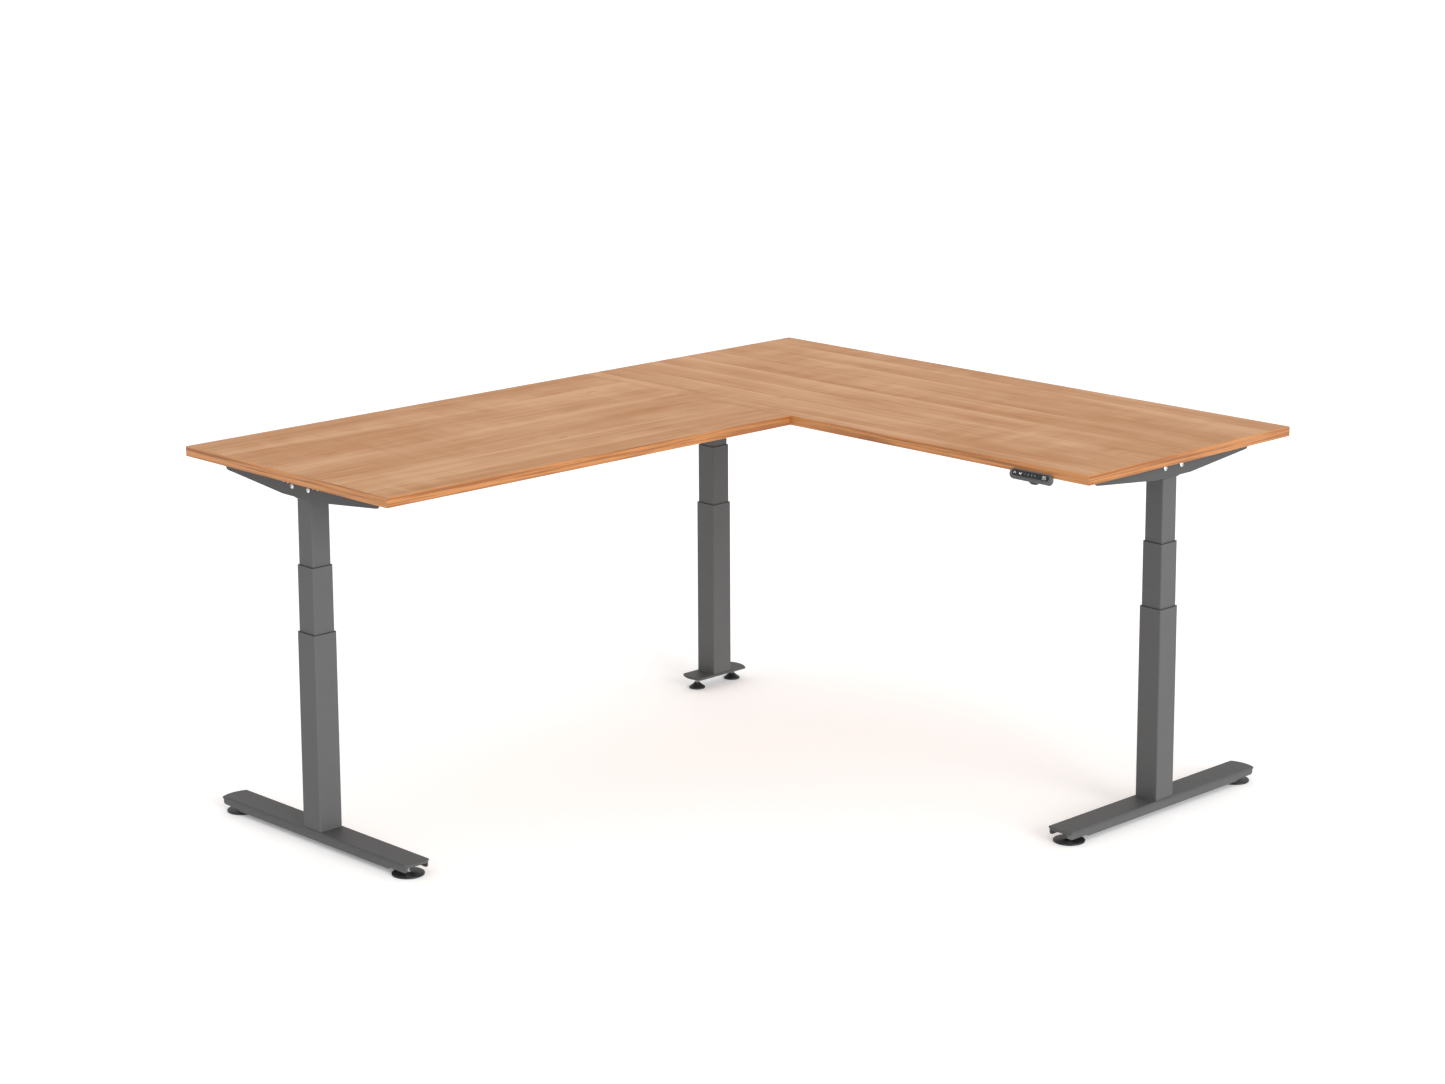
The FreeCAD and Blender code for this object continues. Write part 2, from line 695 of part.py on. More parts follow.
def screw(name, spot, turn, kind, length):
    """A button-head screw with a hex socket, pointing along its own +Z from the spot.
    The kind, drive or wood, picks its sizes from the sheet."""
    shank = doc.addObject("Part::Cylinder", name + "_shank")
    bind(shank, Radius=f"{kind}_screw_radius", Height=length)
    head = doc.addObject("Part::Cylinder", name + "_head")
    bind(head, Radius=f"{kind}_head_radius", Height=f"{kind}_head")
    put(head, ("0", "0", f"0 - {kind}_head"))
    rise = f"({kind}_head - {kind}_rim)"
    ball_radius = f"({kind}_head_radius * {kind}_head_radius + {rise} * {rise}) / (2 * {rise})"
    ball = doc.addObject("Part::Sphere", name + "_ball")
    bind(ball, Radius=ball_radius)
    put(ball, ("0", "0", f"{ball_radius} - {kind}_head"))
    dome = doc.addObject("Part::Common", name + "_dome")
    dome.Base = head
    dome.Tool = ball
    blank = doc.addObject("Part::Fuse", name + "_blank")
    blank.Base = dome
    blank.Tool = shank
    socket = doc.addObject("Part::Prism", name + "_socket")
    bind(socket, Circumradius=f"{kind}_socket", Height=f"{kind}_socket_depth")
    put(socket, ("0", "0", f"0 - {kind}_head"))
    whole = doc.addObject("Part::Cut", name)
    whole.Base = blank
    whole.Tool = socket
    put(whole, spot, turn)
    return whole


def make_screws():
    """All screws that hold the frame to the tops and the gear motors to the brackets."""
    screws = []
    into_leg = {0: ((1, 0, 0), -90), 90: ((0, 1, 0), -90), -90: ((0, 1, 0), 90)}
    for leg, (_, degrees) in LEGS.items():
        for side in ("0 - drive_screw_reach", "drive_screw_reach"):
            x, y = leg_spot(leg, side, OUTSIDE_Y)
            spot = (x, y, f"{UNDERSIDE} - drive_screw_drop")
            screws.append(screw("drive_screw", spot, into_leg[degrees], "drive",
                                "drive_screw_length - 1"))
    wood_spots = [(*leg_spot(leg, reach, "0"), "bracket_wall")
                  for leg in LEGS for reach in BRACKET_SCREWS]
    for middle in ("plate_left", "plate_right"):
        for across, forward in PLATE_SCREWS:
            wood_spots.append((f"{middle} + {across}", f"({SEAM}) + {forward}",
                               "plate_thick"))
    for side in ("0 - 1", "1"):
        x = f"box_left + box_length / 2 + {side} * (box_length / 2 + box_ear / 2)"
        wood_spots.append((x, "box_back - box_width / 2", "plate_thick"))
    for x, y, sheet in wood_spots:
        spot = (x, y, f"{UNDERSIDE} - {sheet}")
        screws.append(screw("wood_screw", spot, ((0, 0, 1), 0), "wood",
                            "wood_screw_length"))
    group = doc.addObject("Part::Compound", "frame_screws")
    group.Links = screws
    group.Label = "frame_screws"


def make_seam_plates():
    """Flat plates screwed across the seam, one near each end of it."""
    plates = []
    for word in ("left", "right"):
        plate = Piece(f"seam_plate_{word}")
        plate.block(["plate_length", "plate_width", "plate_thick"],
                    (f"plate_{word}", SEAM), f"{UNDERSIDE} - plate_thick")
        plate.round("box_round", along((0, 0, 1)))
        for across, forward in PLATE_SCREWS:
            spot = (f"plate_{word} + {across}", f"({SEAM}) + {forward}",
                    f"{UNDERSIDE} - plate_thick")
            plate.cylinder("wood_screw_radius + screw_hole_gap", "plate_thick",
                           spot, cut=True)
        plates.append(plate.body)
    group = doc.addObject("Part::Compound", "seam_plates")
    group.Links = plates
    group.Label = "seam_plates"


make_sheet()
make_top("main_top", ("main_length", "main_depth"), MAIN_MIDDLE)
make_top("side_top", ("side_width", "side_length"), SIDE_MIDDLE)
make_seam_plates()
for leg_name in LEGS:
    make_column(leg_name)
    make_bracket(leg_name)
    make_gear_motor(leg_name)
make_t_foot("left")
make_disc_leveller("left_leveller_left", "left", "-1")
make_disc_leveller("left_leveller_right", "left", "1")
make_t_foot("right")
make_disc_leveller("right_leveller_front", "right", "-1")
make_disc_leveller("right_leveller_rear", "right", "1")
make_corner_base()
make_cone_leveller("corner_leveller_rear", "corner", "-1")
make_cone_leveller("corner_leveller_front", "corner", "1")
make_rails()
make_control_box()
make_keypad()
make_screws()
doc.recompute()

HELPERS = ("keypad_form", "keypad_plan", "keypad_stadium", "keypad_recess",
           "keypad_shell", "seam_plate_left", "seam_plate_right")
nodes = [thing for thing in doc.Objects
         if thing.TypeId == "PartDesign::Body" and thing.Label not in HELPERS]
nodes += [doc.keypad_housing, doc.frame_screws, doc.seam_plates]

for thing in doc.Objects:
    if "Invalid" in thing.State or "Error" in thing.State:
        raise RuntimeError(f"{thing.Label} did not recompute: {thing.State}")
for thing in nodes:
    if thing.Shape.isNull() or not thing.Shape.isValid():
        raise RuntimeError(f"{thing.Label} has no valid shape")

os.makedirs("parts", exist_ok=True)
for thing in nodes:
    thing.Shape.exportStep(f"parts/{thing.Label}.step")
print(len(nodes), "sub-parts written")
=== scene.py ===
# %% [markdown]
# # An L-shaped sit-stand desk
# The desk is two wood-effect tops on three telescopic legs. Its exact shapes come from a packed
# CAD model, which this notebook loads as a fixed frame: nothing in it is moved or resized.
# The cells below set up a camera and a soft studio, give every part its finish, and build the
# small pieces that are mostly looks, such as the keypad's moulding and the levelling feet.

# %% Load the frame
import json
import math

import bmesh
import bpy
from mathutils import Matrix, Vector


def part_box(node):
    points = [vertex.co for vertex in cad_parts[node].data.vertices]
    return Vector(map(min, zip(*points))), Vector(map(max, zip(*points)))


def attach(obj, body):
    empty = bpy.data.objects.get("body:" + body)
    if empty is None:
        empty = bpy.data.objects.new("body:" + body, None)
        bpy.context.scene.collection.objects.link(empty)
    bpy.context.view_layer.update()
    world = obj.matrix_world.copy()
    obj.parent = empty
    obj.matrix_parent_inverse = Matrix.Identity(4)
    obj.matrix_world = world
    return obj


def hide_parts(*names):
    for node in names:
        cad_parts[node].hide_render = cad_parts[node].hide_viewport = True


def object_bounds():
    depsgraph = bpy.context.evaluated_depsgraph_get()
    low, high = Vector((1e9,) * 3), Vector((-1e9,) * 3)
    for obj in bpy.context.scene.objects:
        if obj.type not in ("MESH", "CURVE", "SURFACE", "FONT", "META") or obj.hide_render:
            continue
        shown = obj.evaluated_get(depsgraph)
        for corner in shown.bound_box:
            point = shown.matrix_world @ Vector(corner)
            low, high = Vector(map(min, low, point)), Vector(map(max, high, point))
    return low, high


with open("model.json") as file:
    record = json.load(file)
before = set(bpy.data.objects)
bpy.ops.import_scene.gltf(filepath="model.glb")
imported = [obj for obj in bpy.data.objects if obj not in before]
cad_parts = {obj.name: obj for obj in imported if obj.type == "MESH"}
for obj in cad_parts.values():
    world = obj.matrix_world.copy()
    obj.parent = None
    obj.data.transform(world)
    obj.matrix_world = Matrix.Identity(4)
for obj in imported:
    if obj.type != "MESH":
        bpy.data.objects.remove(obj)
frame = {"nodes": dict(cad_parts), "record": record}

MM = 0.001
cad_low, cad_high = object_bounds()
print("box in metres:", tuple(round(side, 3) for side in cad_high - cad_low))

# %% [markdown]
# ## The camera
# A desk looks natural from a standing person's distance with a long lens, so that its uprights
# stay nearly parallel. The camera stands off the inner corner of the L, a little above the tops,
# and looks down at the middle. A small lens shift moves the view down and to the left without
# turning the camera any further.

# %% Camera
CAMERA_PLACE = (5.64, -5.52, 2.64)
CAMERA_HEADING = 44.8
CAMERA_DOWN = 11.4

lens = bpy.data.cameras.new("camera")
lens.lens = 80
lens.sensor_width = 36
lens.shift_x = -0.047
lens.shift_y = -0.10
lens.clip_end = 300
camera = bpy.data.objects.new("camera", lens)
camera.location = CAMERA_PLACE
camera.rotation_euler = (math.radians(90 - CAMERA_DOWN), 0, math.radians(CAMERA_HEADING))
bpy.context.collection.objects.link(camera)
bpy.context.scene.camera = camera
print("camera at", CAMERA_PLACE, "with a", lens.lens, "mm lens")

# %% [markdown]
# ## The studio
# Product pictures of furniture are lit by a bright, even room with one large soft light to a
# side, which gives the uprights a light face and a dark face. A sun light with a wide angle
# does this evenly for the whole desk: the wider the angle, the softer the shadow. It comes in
# low, so that it also reaches the column in the corner, under the tops. The room is the world's
# background, a little brighter near the floor than overhead, which hides the horizon. The floor
# is a plain pale disc that glows a little, like the light table of a product studio, so that
# the shadows stay faint. The Standard view transform shows the colours as they are set, with
# no film look.

# %% Floor
FLOOR_RADIUS = 120
FLOOR_SIDES = 128
FLOOR_SHADE = 0.95
FLOOR_GLOW = 0.17
FLOOR_ROUGHNESS = 0.8


def make_floor():
    """A pale disc under the desk, out past the horizon of every view."""
    shape = bmesh.new()
    bmesh.ops.create_circle(shape, cap_ends=True, radius=FLOOR_RADIUS, segments=FLOOR_SIDES)
    mesh = bpy.data.meshes.new("floor")
    shape.to_mesh(mesh)
    shape.free()
    floor = bpy.data.objects.new("floor", mesh)
    paint = bpy.data.materials.new("pale floor")
    paint.use_nodes = True
    shader = paint.node_tree.nodes["Principled BSDF"]
    shader.inputs["Base Color"].default_value = (FLOOR_SHADE, FLOOR_SHADE, FLOOR_SHADE, 1)
    shader.inputs["Roughness"].default_value = FLOOR_ROUGHNESS
    shader.inputs["Emission Color"].default_value = (1, 1, 1, 1)
    shader.inputs["Emission Strength"].default_value = FLOOR_GLOW
    mesh.materials.append(paint)
    bpy.context.collection.objects.link(floor)


make_floor()
print("floor", FLOOR_RADIUS, "m in radius")

# %% Side light
SIDE_LIGHT = 2.25
SIDE_LIGHT_SPREAD = 34
SIDE_LIGHT_FROM = (0.95, -0.12, 0.24)
SIDE_LIGHT_DISTANCE = 5


def make_side_light():
    """A soft sun from the right, a little above the horizon."""
    light = bpy.data.lights.new("side_light", "SUN")
    light.energy = SIDE_LIGHT
    light.angle = math.radians(SIDE_LIGHT_SPREAD)
    holder = bpy.data.objects.new("side_light", light)
    holder.location = Vector(SIDE_LIGHT_FROM) * SIDE_LIGHT_DISTANCE
    holder.rotation_euler = Vector(SIDE_LIGHT_FROM).to_track_quat("Z", "Y").to_euler()
    bpy.context.collection.objects.link(holder)


make_side_light()
print("side light", SIDE_LIGHT, "and", SIDE_LIGHT_SPREAD, "degrees wide")

# %% Room
ROOM_LOW = 0.97
ROOM_HIGH = 0.93
ROOM_HIGH_FROM = 0.8


def make_room():
    """A white background, a little brighter at the horizon than overhead."""
    room = bpy.data.worlds.new("room")
    room.use_nodes = True
    tree = room.node_tree
    way = tree.nodes.new("ShaderNodeTexCoord")
    parts = tree.nodes.new("ShaderNodeSeparateXYZ")
    tree.links.new(way.outputs["Generated"], parts.inputs[0])
    rise = tree.nodes.new("ShaderNodeMapRange")
    rise.inputs["From Max"].default_value = ROOM_HIGH_FROM
    rise.inputs["To Min"].default_value = ROOM_LOW
    rise.inputs["To Max"].default_value = ROOM_HIGH
    tree.links.new(parts.outputs["Z"], rise.inputs["Value"])
    tree.links.new(rise.outputs[0], tree.nodes["Background"].inputs["Strength"])
    tree.nodes["Background"].inputs["Color"].default_value = (1, 1, 1, 1)
    bpy.context.scene.world = room


make_room()
bpy.context.scene.view_settings.view_transform = "Standard"
print("room light from", ROOM_LOW, "at the horizon to", ROOM_HIGH, "overhead")

# %% [markdown]
# ## Building shader nodes from code
# A finish is a small network of nodes. A few helpers keep the network readable. One adds a node
# and fills its sockets with numbers or with other nodes' outputs, one does arithmetic and one
# blends two colours. Two more start and place a node group, which is a network with named inputs
# and outputs that several materials can share, each with its own values.

# %% Node helpers
def add_node(tree, kind, settings=None, inputs=None):
    """Add a shader node. Each input is a plain value, or a socket to link from."""
    node = tree.nodes.new("ShaderNode" + kind)
    for name, value in (settings or {}).items():
        setattr(node, name, value)
    for name, value in (inputs or {}).items():
        if isinstance(value, bpy.types.NodeSocket):
            tree.links.new(value, node.inputs[name])
        else:
            node.inputs[name].default_value = value
    return node


def do_maths(tree, operation, *values):
    """One step of arithmetic on numbers or sockets."""
    node = add_node(tree, "Math", {"operation": operation}, dict(enumerate(values)))
    return node.outputs[0]


def blend_colours(tree, share, first, second):
    """The first colour at share 0 and the second at share 1."""
    node = add_node(tree, "Mix", {"data_type": "RGBA"})
    for socket, value in zip((node.inputs[0], node.inputs[6], node.inputs[7]),
                             (share, first, second)):
        if isinstance(value, bpy.types.NodeSocket):
            tree.links.new(value, socket)
        else:
            socket.default_value = value
    return node.outputs[2]


print("node helpers ready")

# %% Group helpers
def start_group(name, inputs, outputs):
    """A node group. Inputs are {name: (kind, first value)} and outputs {name: kind}."""
    group = bpy.data.node_groups.new(name, "ShaderNodeTree")
    for socket, (kind, value) in inputs.items():
        made = group.interface.new_socket(socket, in_out="INPUT",
                                          socket_type="NodeSocket" + kind)
        if value is not None:
            made.default_value = value
    for socket, kind in outputs.items():
        group.interface.new_socket(socket, in_out="OUTPUT", socket_type="NodeSocket" + kind)
    start = group.nodes.new("NodeGroupInput")
    end = group.nodes.new("NodeGroupOutput")
    return group, start.outputs, end.inputs


def use_group(tree, group, inputs):
    """Place a group with its own values, and return its outputs."""
    node = add_node(tree, "Group", {"node_tree": group}, inputs)
    return node.outputs


print("group helpers ready")

# %% [markdown]
# ## Shared effect: streaks
# Wood grain, a brushed rail and a drawn tube all have marks much longer than they are wide.
# Stretching the position before it reaches a noise texture gives such streaks: a small factor
# along the grain makes long marks, and a large factor across it makes them narrow. The group
# takes the position with x along the grain, so each part decides which way its grain runs.

# %% Group: streaks
def build_streaks():
    group, start, end = start_group(
        "Streaks",
        {"Position": ("Vector", None), "Along": ("Float", 2.0), "Across": ("Float", 60.0),
         "Seed": ("Float", 0.0)},
        {"Value": "Float"})
    stretch = add_node(group, "CombineXYZ", None,
                       {0: start["Along"], 1: start["Across"], 2: 1.0})
    scaled = add_node(group, "VectorMath", {"operation": "MULTIPLY"},
                      {0: start["Position"], 1: stretch.outputs[0]})
    noise = add_node(group, "TexNoise", {"noise_dimensions": "4D"},
                     {"Vector": scaled.outputs[0], "W": start["Seed"], "Scale": 1.0,
                      "Detail": 4.0, "Roughness": 0.6})
    group.links.new(noise.outputs["Fac"], end["Value"])
    return group


STREAKS = build_streaks()


def streaks(tree, position, along, across, seed):
    """The streaks' value at a position, from 0 to 1."""
    return use_group(tree, STREAKS, {"Position": position, "Along": along, "Across": across,
                                     "Seed": seed})["Value"]


print("group", STREAKS.name)

# %% [markdown]
# ## Shared effect: fine grain
# Powder coat, moulded plastic and wood film are never quite smooth: close up they have a fine,
# even texture. The group gives two outputs from one noise, a height for a Bump node and a
# gentle light and dark for the colour, so that the two always agree.

# %% Group: fine grain
def build_fine_grain():
    group, start, end = start_group(
        "Fine grain",
        {"Position": ("Vector", None), "Size": ("Float", 0.001), "Contrast": ("Float", 0.1)},
        {"Height": "Float", "Shade": "Float"})
    scale = do_maths(group, "DIVIDE", 1.0, start["Size"])
    noise = add_node(group, "TexNoise", None,
                     {"Vector": start["Position"], "Scale": scale, "Detail": 2.0,
                      "Roughness": 0.65})
    group.links.new(noise.outputs["Fac"], end["Height"])
    swing = do_maths(group, "SUBTRACT", noise.outputs["Fac"], 0.5)
    shade = do_maths(group, "MULTIPLY_ADD", swing, start["Contrast"], 1.0)
    group.links.new(shade, end["Shade"])
    return group


FINE_GRAIN = build_fine_grain()
print("group", FINE_GRAIN.name)

# %% [markdown]
# ## Shared effect: edges
# Paint thins at an edge, and handled plastic polishes there first; the finishes also make their
# edges lighter as a painted highlight, where a rounded edge would catch the light. A Bevel
# node gives the normal that the surface would have if its edges were rounded. Where that differs
# from the true normal there is an edge, so their dot product makes a mask for it.

# %% Group: edges
def build_edges():
    group, start, end = start_group(
        "Edges",
        {"Radius": ("Float", 0.002), "Gain": ("Float", 4.0)},
        {"Mask": "Float"})
    rounded = add_node(group, "Bevel", {"samples": 4}, {"Radius": start["Radius"]})
    true = add_node(group, "NewGeometry")
    same = add_node(group, "VectorMath", {"operation": "DOT_PRODUCT"},
                    {0: rounded.outputs[0], 1: true.outputs["Normal"]})
    turned = do_maths(group, "SUBTRACT", 1.0, same.outputs["Value"])
    mask = add_node(group, "Math", {"operation": "MULTIPLY", "use_clamp": True},
                    {0: turned, 1: start["Gain"]})
    group.links.new(mask.outputs[0], end["Mask"])
    return group


EDGES = build_edges()
print("group", EDGES.name)

# %% [markdown]
# ## Materials start the same way
# Every finish below needs its own node tree, the main shader and the part's position. The
# position is the object's own, so the pattern stays with a part when the desk is raised. A
# second helper turns that position so that x runs along the grain, whichever way the part lies.
# Of the last two, one makes a number that looks random but is always the same for the same
# stave, and one lets a value push a tone up or down.

# %% Material helpers
def start_material(name):
    """A material with its node tree, its main shader and the part's own position."""
    made = bpy.data.materials.new(name)
    made.use_nodes = True
    tree = made.node_tree
    place = add_node(tree, "TexCoord").outputs["Object"]
    return made, tree, tree.nodes["Principled BSDF"], place


def grain_position(tree, place, along, across):
    """The position with x along the grain and y across it. Axes are 0, 1 or 2."""
    parts = add_node(tree, "SeparateXYZ", None, {0: place}).outputs
    turned = add_node(tree, "CombineXYZ", None, {0: parts[along], 1: parts[across], 2: 0.0})
    return turned.outputs[0]


def random_number(tree, first, second):
    """A number from 0 to 1 that depends on two others."""
    pair = add_node(tree, "CombineXYZ", None, {0: first, 1: second, 2: 0.0})
    noise = add_node(tree, "TexWhiteNoise", {"noise_dimensions": "3D"}, {0: pair.outputs[0]})
    return noise.outputs["Value"]


def add_swing(tree, tone, value, amount):
    """Let a value between 0 and 1 push the tone up and down about its middle."""
    swing = do_maths(tree, "SUBTRACT", value, 0.5)
    return do_maths(tree, "MULTIPLY_ADD", swing, amount, tone)


print("material helpers ready")

# %% [markdown]
# ## Wood-effect boards
# The tops are particle board under a printed film, in the pattern of glued staves about 11 cm
# wide. What an eye notices first is the joint: each stave is pale along one edge and deepens
# to orange brown at the other, so the tone jumps where two staves meet. Streaks run along the
# grain and wander a little, soft bars cross it where the grain curls, and here and there is a
# small dark eye. Dark places are redder, not only darker, so the two colours that the tone
# blends differ most in blue.

# %% Staves
STAVE_WIDTH = 0.112
STAVE_LENGTH = 0.93


def stave_pattern(tree, position, seed):
    """The stave's number, a number for its length of wood, and how pale its pale edge is."""
    parts = add_node(tree, "SeparateXYZ", None, {0: position}).outputs
    staves = do_maths(tree, "ADD", do_maths(tree, "DIVIDE", parts[1], STAVE_WIDTH), seed)
    stave = do_maths(tree, "FLOOR", staves)
    shift = do_maths(tree, "MULTIPLY", random_number(tree, stave, 3.0), 9.0)
    lengths = do_maths(tree, "ADD", do_maths(tree, "DIVIDE", parts[0], STAVE_LENGTH), shift)
    own = random_number(tree, stave, do_maths(tree, "FLOOR", lengths))
    across = do_maths(tree, "SUBTRACT", do_maths(tree, "FRACT", staves), 0.5)
    side = do_maths(tree, "SUBTRACT", random_number(tree, stave, 11.0), 0.5)
    towards_joint = do_maths(tree, "MULTIPLY_ADD", across, do_maths(tree, "SIGN", side), 0.5)
    slope = do_maths(tree, "MULTIPLY", towards_joint, 0.50)
    pale_edge = do_maths(tree, "POWER", towards_joint, 5.0)
    pale = do_maths(tree, "MULTIPLY_ADD", pale_edge, 0.55, slope)
    strength = streaks(tree, position, 1.2, 2.0, stave)
    strength = add_node(tree, "MapRange", None,
                        {"Value": strength, "From Min": 0.38, "From Max": 0.60}).outputs[0]
    return stave, own, do_maths(tree, "MULTIPLY", pale, strength)


print("staves", STAVE_WIDTH, "m wide and", STAVE_LENGTH, "m long")

# %% Wandering streaks
GRAIN_WANDER = 0.11


def wander(tree, position, seed):
    """The position with the grain bent gently sideways, so that streaks aren't ruled lines."""
    slow = streaks(tree, position, 1.3, 3.5, seed)
    sideways = do_maths(tree, "MULTIPLY", do_maths(tree, "SUBTRACT", slow, 0.5), GRAIN_WANDER)
    step = add_node(tree, "CombineXYZ", None, {1: sideways}).outputs[0]
    return add_node(tree, "VectorMath", {"operation": "ADD"}, {0: position, 1: step}).outputs[0]


print("streaks wander by up to", GRAIN_WANDER / 2, "m")

# %% Curl and eyes
EYES_LEFT_OUT = 0.62


def curl(tree, position, seed):
    """Soft pale bars across the grain, which come and go."""
    bars = streaks(tree, position, 17.0, 3.0, seed)
    where = streaks(tree, position, 1.9, 5.0, seed + 1.0)
    patch = add_node(tree, "MapRange", None,
                     {"Value": where, "From Min": 0.42, "From Max": 0.62}).outputs[0]
    return do_maths(tree, "MULTIPLY", do_maths(tree, "SUBTRACT", bars, 0.5), patch)


def eyes(tree, position, seed):
    """Small dark ovals along the grain, a few to a square metre."""
    stretch = add_node(tree, "VectorMath", {"operation": "MULTIPLY_ADD"},
                       {0: position, 1: (2.2, 6.5, 1.0), 2: (seed, seed * 2, 0)})
    cells = add_node(tree, "TexVoronoi", {"voronoi_dimensions": "2D"},
                     {"Vector": stretch.outputs[0], "Scale": 1.0})
    near = add_node(tree, "MapRange", {"interpolation_type": "SMOOTHSTEP"},
                    {"Value": cells.outputs["Distance"], "From Min": 0.060, "From Max": 0.0,
                     "To Min": 0.0, "To Max": 1.0})
    chance = add_node(tree, "SeparateColor", None, {0: cells.outputs["Color"]})
    kept = do_maths(tree, "GREATER_THAN", chance.outputs[0], EYES_LEFT_OUT)
    return do_maths(tree, "MULTIPLY", near.outputs[0], kept)


print("eyes kept:", round(100 - 100 * EYES_LEFT_OUT), "in a hundred")

# %% Board material
BOARD_DARK = (0.394, 0.145, 0.020, 1)
BOARD_LIGHT = (0.558, 0.287, 0.127, 1)
EYE_COLOUR = (0.280, 0.085, 0.008, 1)


def board_material(name, along, across, seed):
    """Wood film. Along and across are the axes of its grain, and the seed is its own pattern."""
    made, tree, shader, place = start_material(name)
    position = grain_position(tree, place, along, across)
    stave, own, pale = stave_pattern(tree, position, seed)
    stave_seed = do_maths(tree, "MULTIPLY_ADD", stave, 2.3, seed)
    bent = wander(tree, position, seed)
    broad = streaks(tree, bent, 1.4, 15.0, stave_seed)
    medium = streaks(tree, bent, 2.8, 75.0, stave_seed)
    narrow = streaks(tree, bent, 7.0, 330.0, own)
    clouds = streaks(tree, bent, 3.2, 7.0, seed + 7.0)
    tone = do_maths(tree, "ADD", pale, 0.34)
    tone = add_swing(tree, tone, own, 0.13)
    tone = add_swing(tree, tone, broad, 1.6)
    tone = add_swing(tree, tone, medium, 1.4)
    tone = add_swing(tree, tone, narrow, 0.5)
    tone = add_swing(tree, tone, clouds, 1.1)
    tone = do_maths(tree, "MULTIPLY_ADD", curl(tree, bent, seed + 3.0), 1.9, tone)
    wood = blend_colours(tree, tone, BOARD_DARK, BOARD_LIGHT)
    mark = do_maths(tree, "MULTIPLY", eyes(tree, bent, seed), 0.55)
    wood = blend_colours(tree, mark, wood, EYE_COLOUR)
    tree.links.new(wood, shader.inputs["Base Color"])
    rough = do_maths(tree, "MULTIPLY_ADD", narrow, 0.16, 0.40)
    tree.links.new(rough, shader.inputs["Roughness"])
    shader.inputs["Specular IOR Level"].default_value = 0.28
    bump = add_node(tree, "Bump", None,
                    {"Height": narrow, "Strength": 0.25, "Distance": 0.0003})
    tree.links.new(bump.outputs[0], shader.inputs["Normal"])
    return made


MAIN_BOARD = board_material("wood film, grain along x", 0, 1, 0.3)
SIDE_BOARD = board_material("wood film, grain along y", 1, 0, 5.6)
print("board materials:", MAIN_BOARD.name, "and", SIDE_BOARD.name)

# %% [markdown]
# ## Edge band
# A 2 mm band is glued round each board. Its print is warmer than the film on top and its grain
# runs along the edge, as a few strong lines in the board's thickness. One material serves all
# four sides: where the surface faces left or right the grain runs along y, and elsewhere along
# x, so the sign of a comparison between the normal's two parts picks the direction. The bands
# on those ends are made a shade deeper, as painted shade that holds back the side light.

# %% Edge band material
BAND_DARK = (0.250, 0.082, 0.016, 1)
BAND_LIGHT = (0.508, 0.214, 0.064, 1)


def band_material(name):
    """The printed band round a board, with its grain along the edge on every side."""
    made, tree, shader, place = start_material(name)
    faces = add_node(tree, "TexCoord").outputs["Normal"]
    normal = add_node(tree, "SeparateXYZ", None, {0: faces}).outputs
    sideways = do_maths(tree, "GREATER_THAN", do_maths(tree, "ABSOLUTE", normal[0]),
                        do_maths(tree, "ABSOLUTE", normal[1]))
    parts = add_node(tree, "SeparateXYZ", None, {0: place}).outputs
    step = do_maths(tree, "SUBTRACT", parts[1], parts[0])
    along = do_maths(tree, "MULTIPLY_ADD", step, sideways, parts[0])
    position = add_node(tree, "CombineXYZ", None, {0: along, 1: parts[2], 2: 0.0}).outputs[0]
    lines = streaks(tree, position, 3.0, 170.0, 4.0)
    fine = streaks(tree, position, 12.0, 900.0, 9.0)
    patches = streaks(tree, position, 5.0, 12.0, 2.0)
    tone = add_node(tree, "MapRange", None,
                    {"Value": lines, "From Min": 0.38, "From Max": 0.56}).outputs[0]
    tone = add_swing(tree, tone, fine, 0.5)
    tone = add_swing(tree, tone, patches, 0.9)
    # painted shade: faces that look left or right are darkened, against the side light
    tone = do_maths(tree, "MULTIPLY_ADD", sideways, -0.30, tone)
    clamped = add_node(tree, "Clamp", None, {0: tone}).outputs[0]
    wood = blend_colours(tree, clamped, BAND_DARK, BAND_LIGHT)
    tree.links.new(wood, shader.inputs["Base Color"])
    rough = do_maths(tree, "MULTIPLY_ADD", fine, 0.15, 0.4)
    tree.links.new(rough, shader.inputs["Roughness"])
    bump = add_node(tree, "Bump", None, {"Height": fine, "Strength": 0.3, "Distance": 0.0003})
    tree.links.new(bump.outputs[0], shader.inputs["Normal"])
    return made


EDGE_BAND = band_material("wood edge band")
print("edge band material:", EDGE_BAND.name)
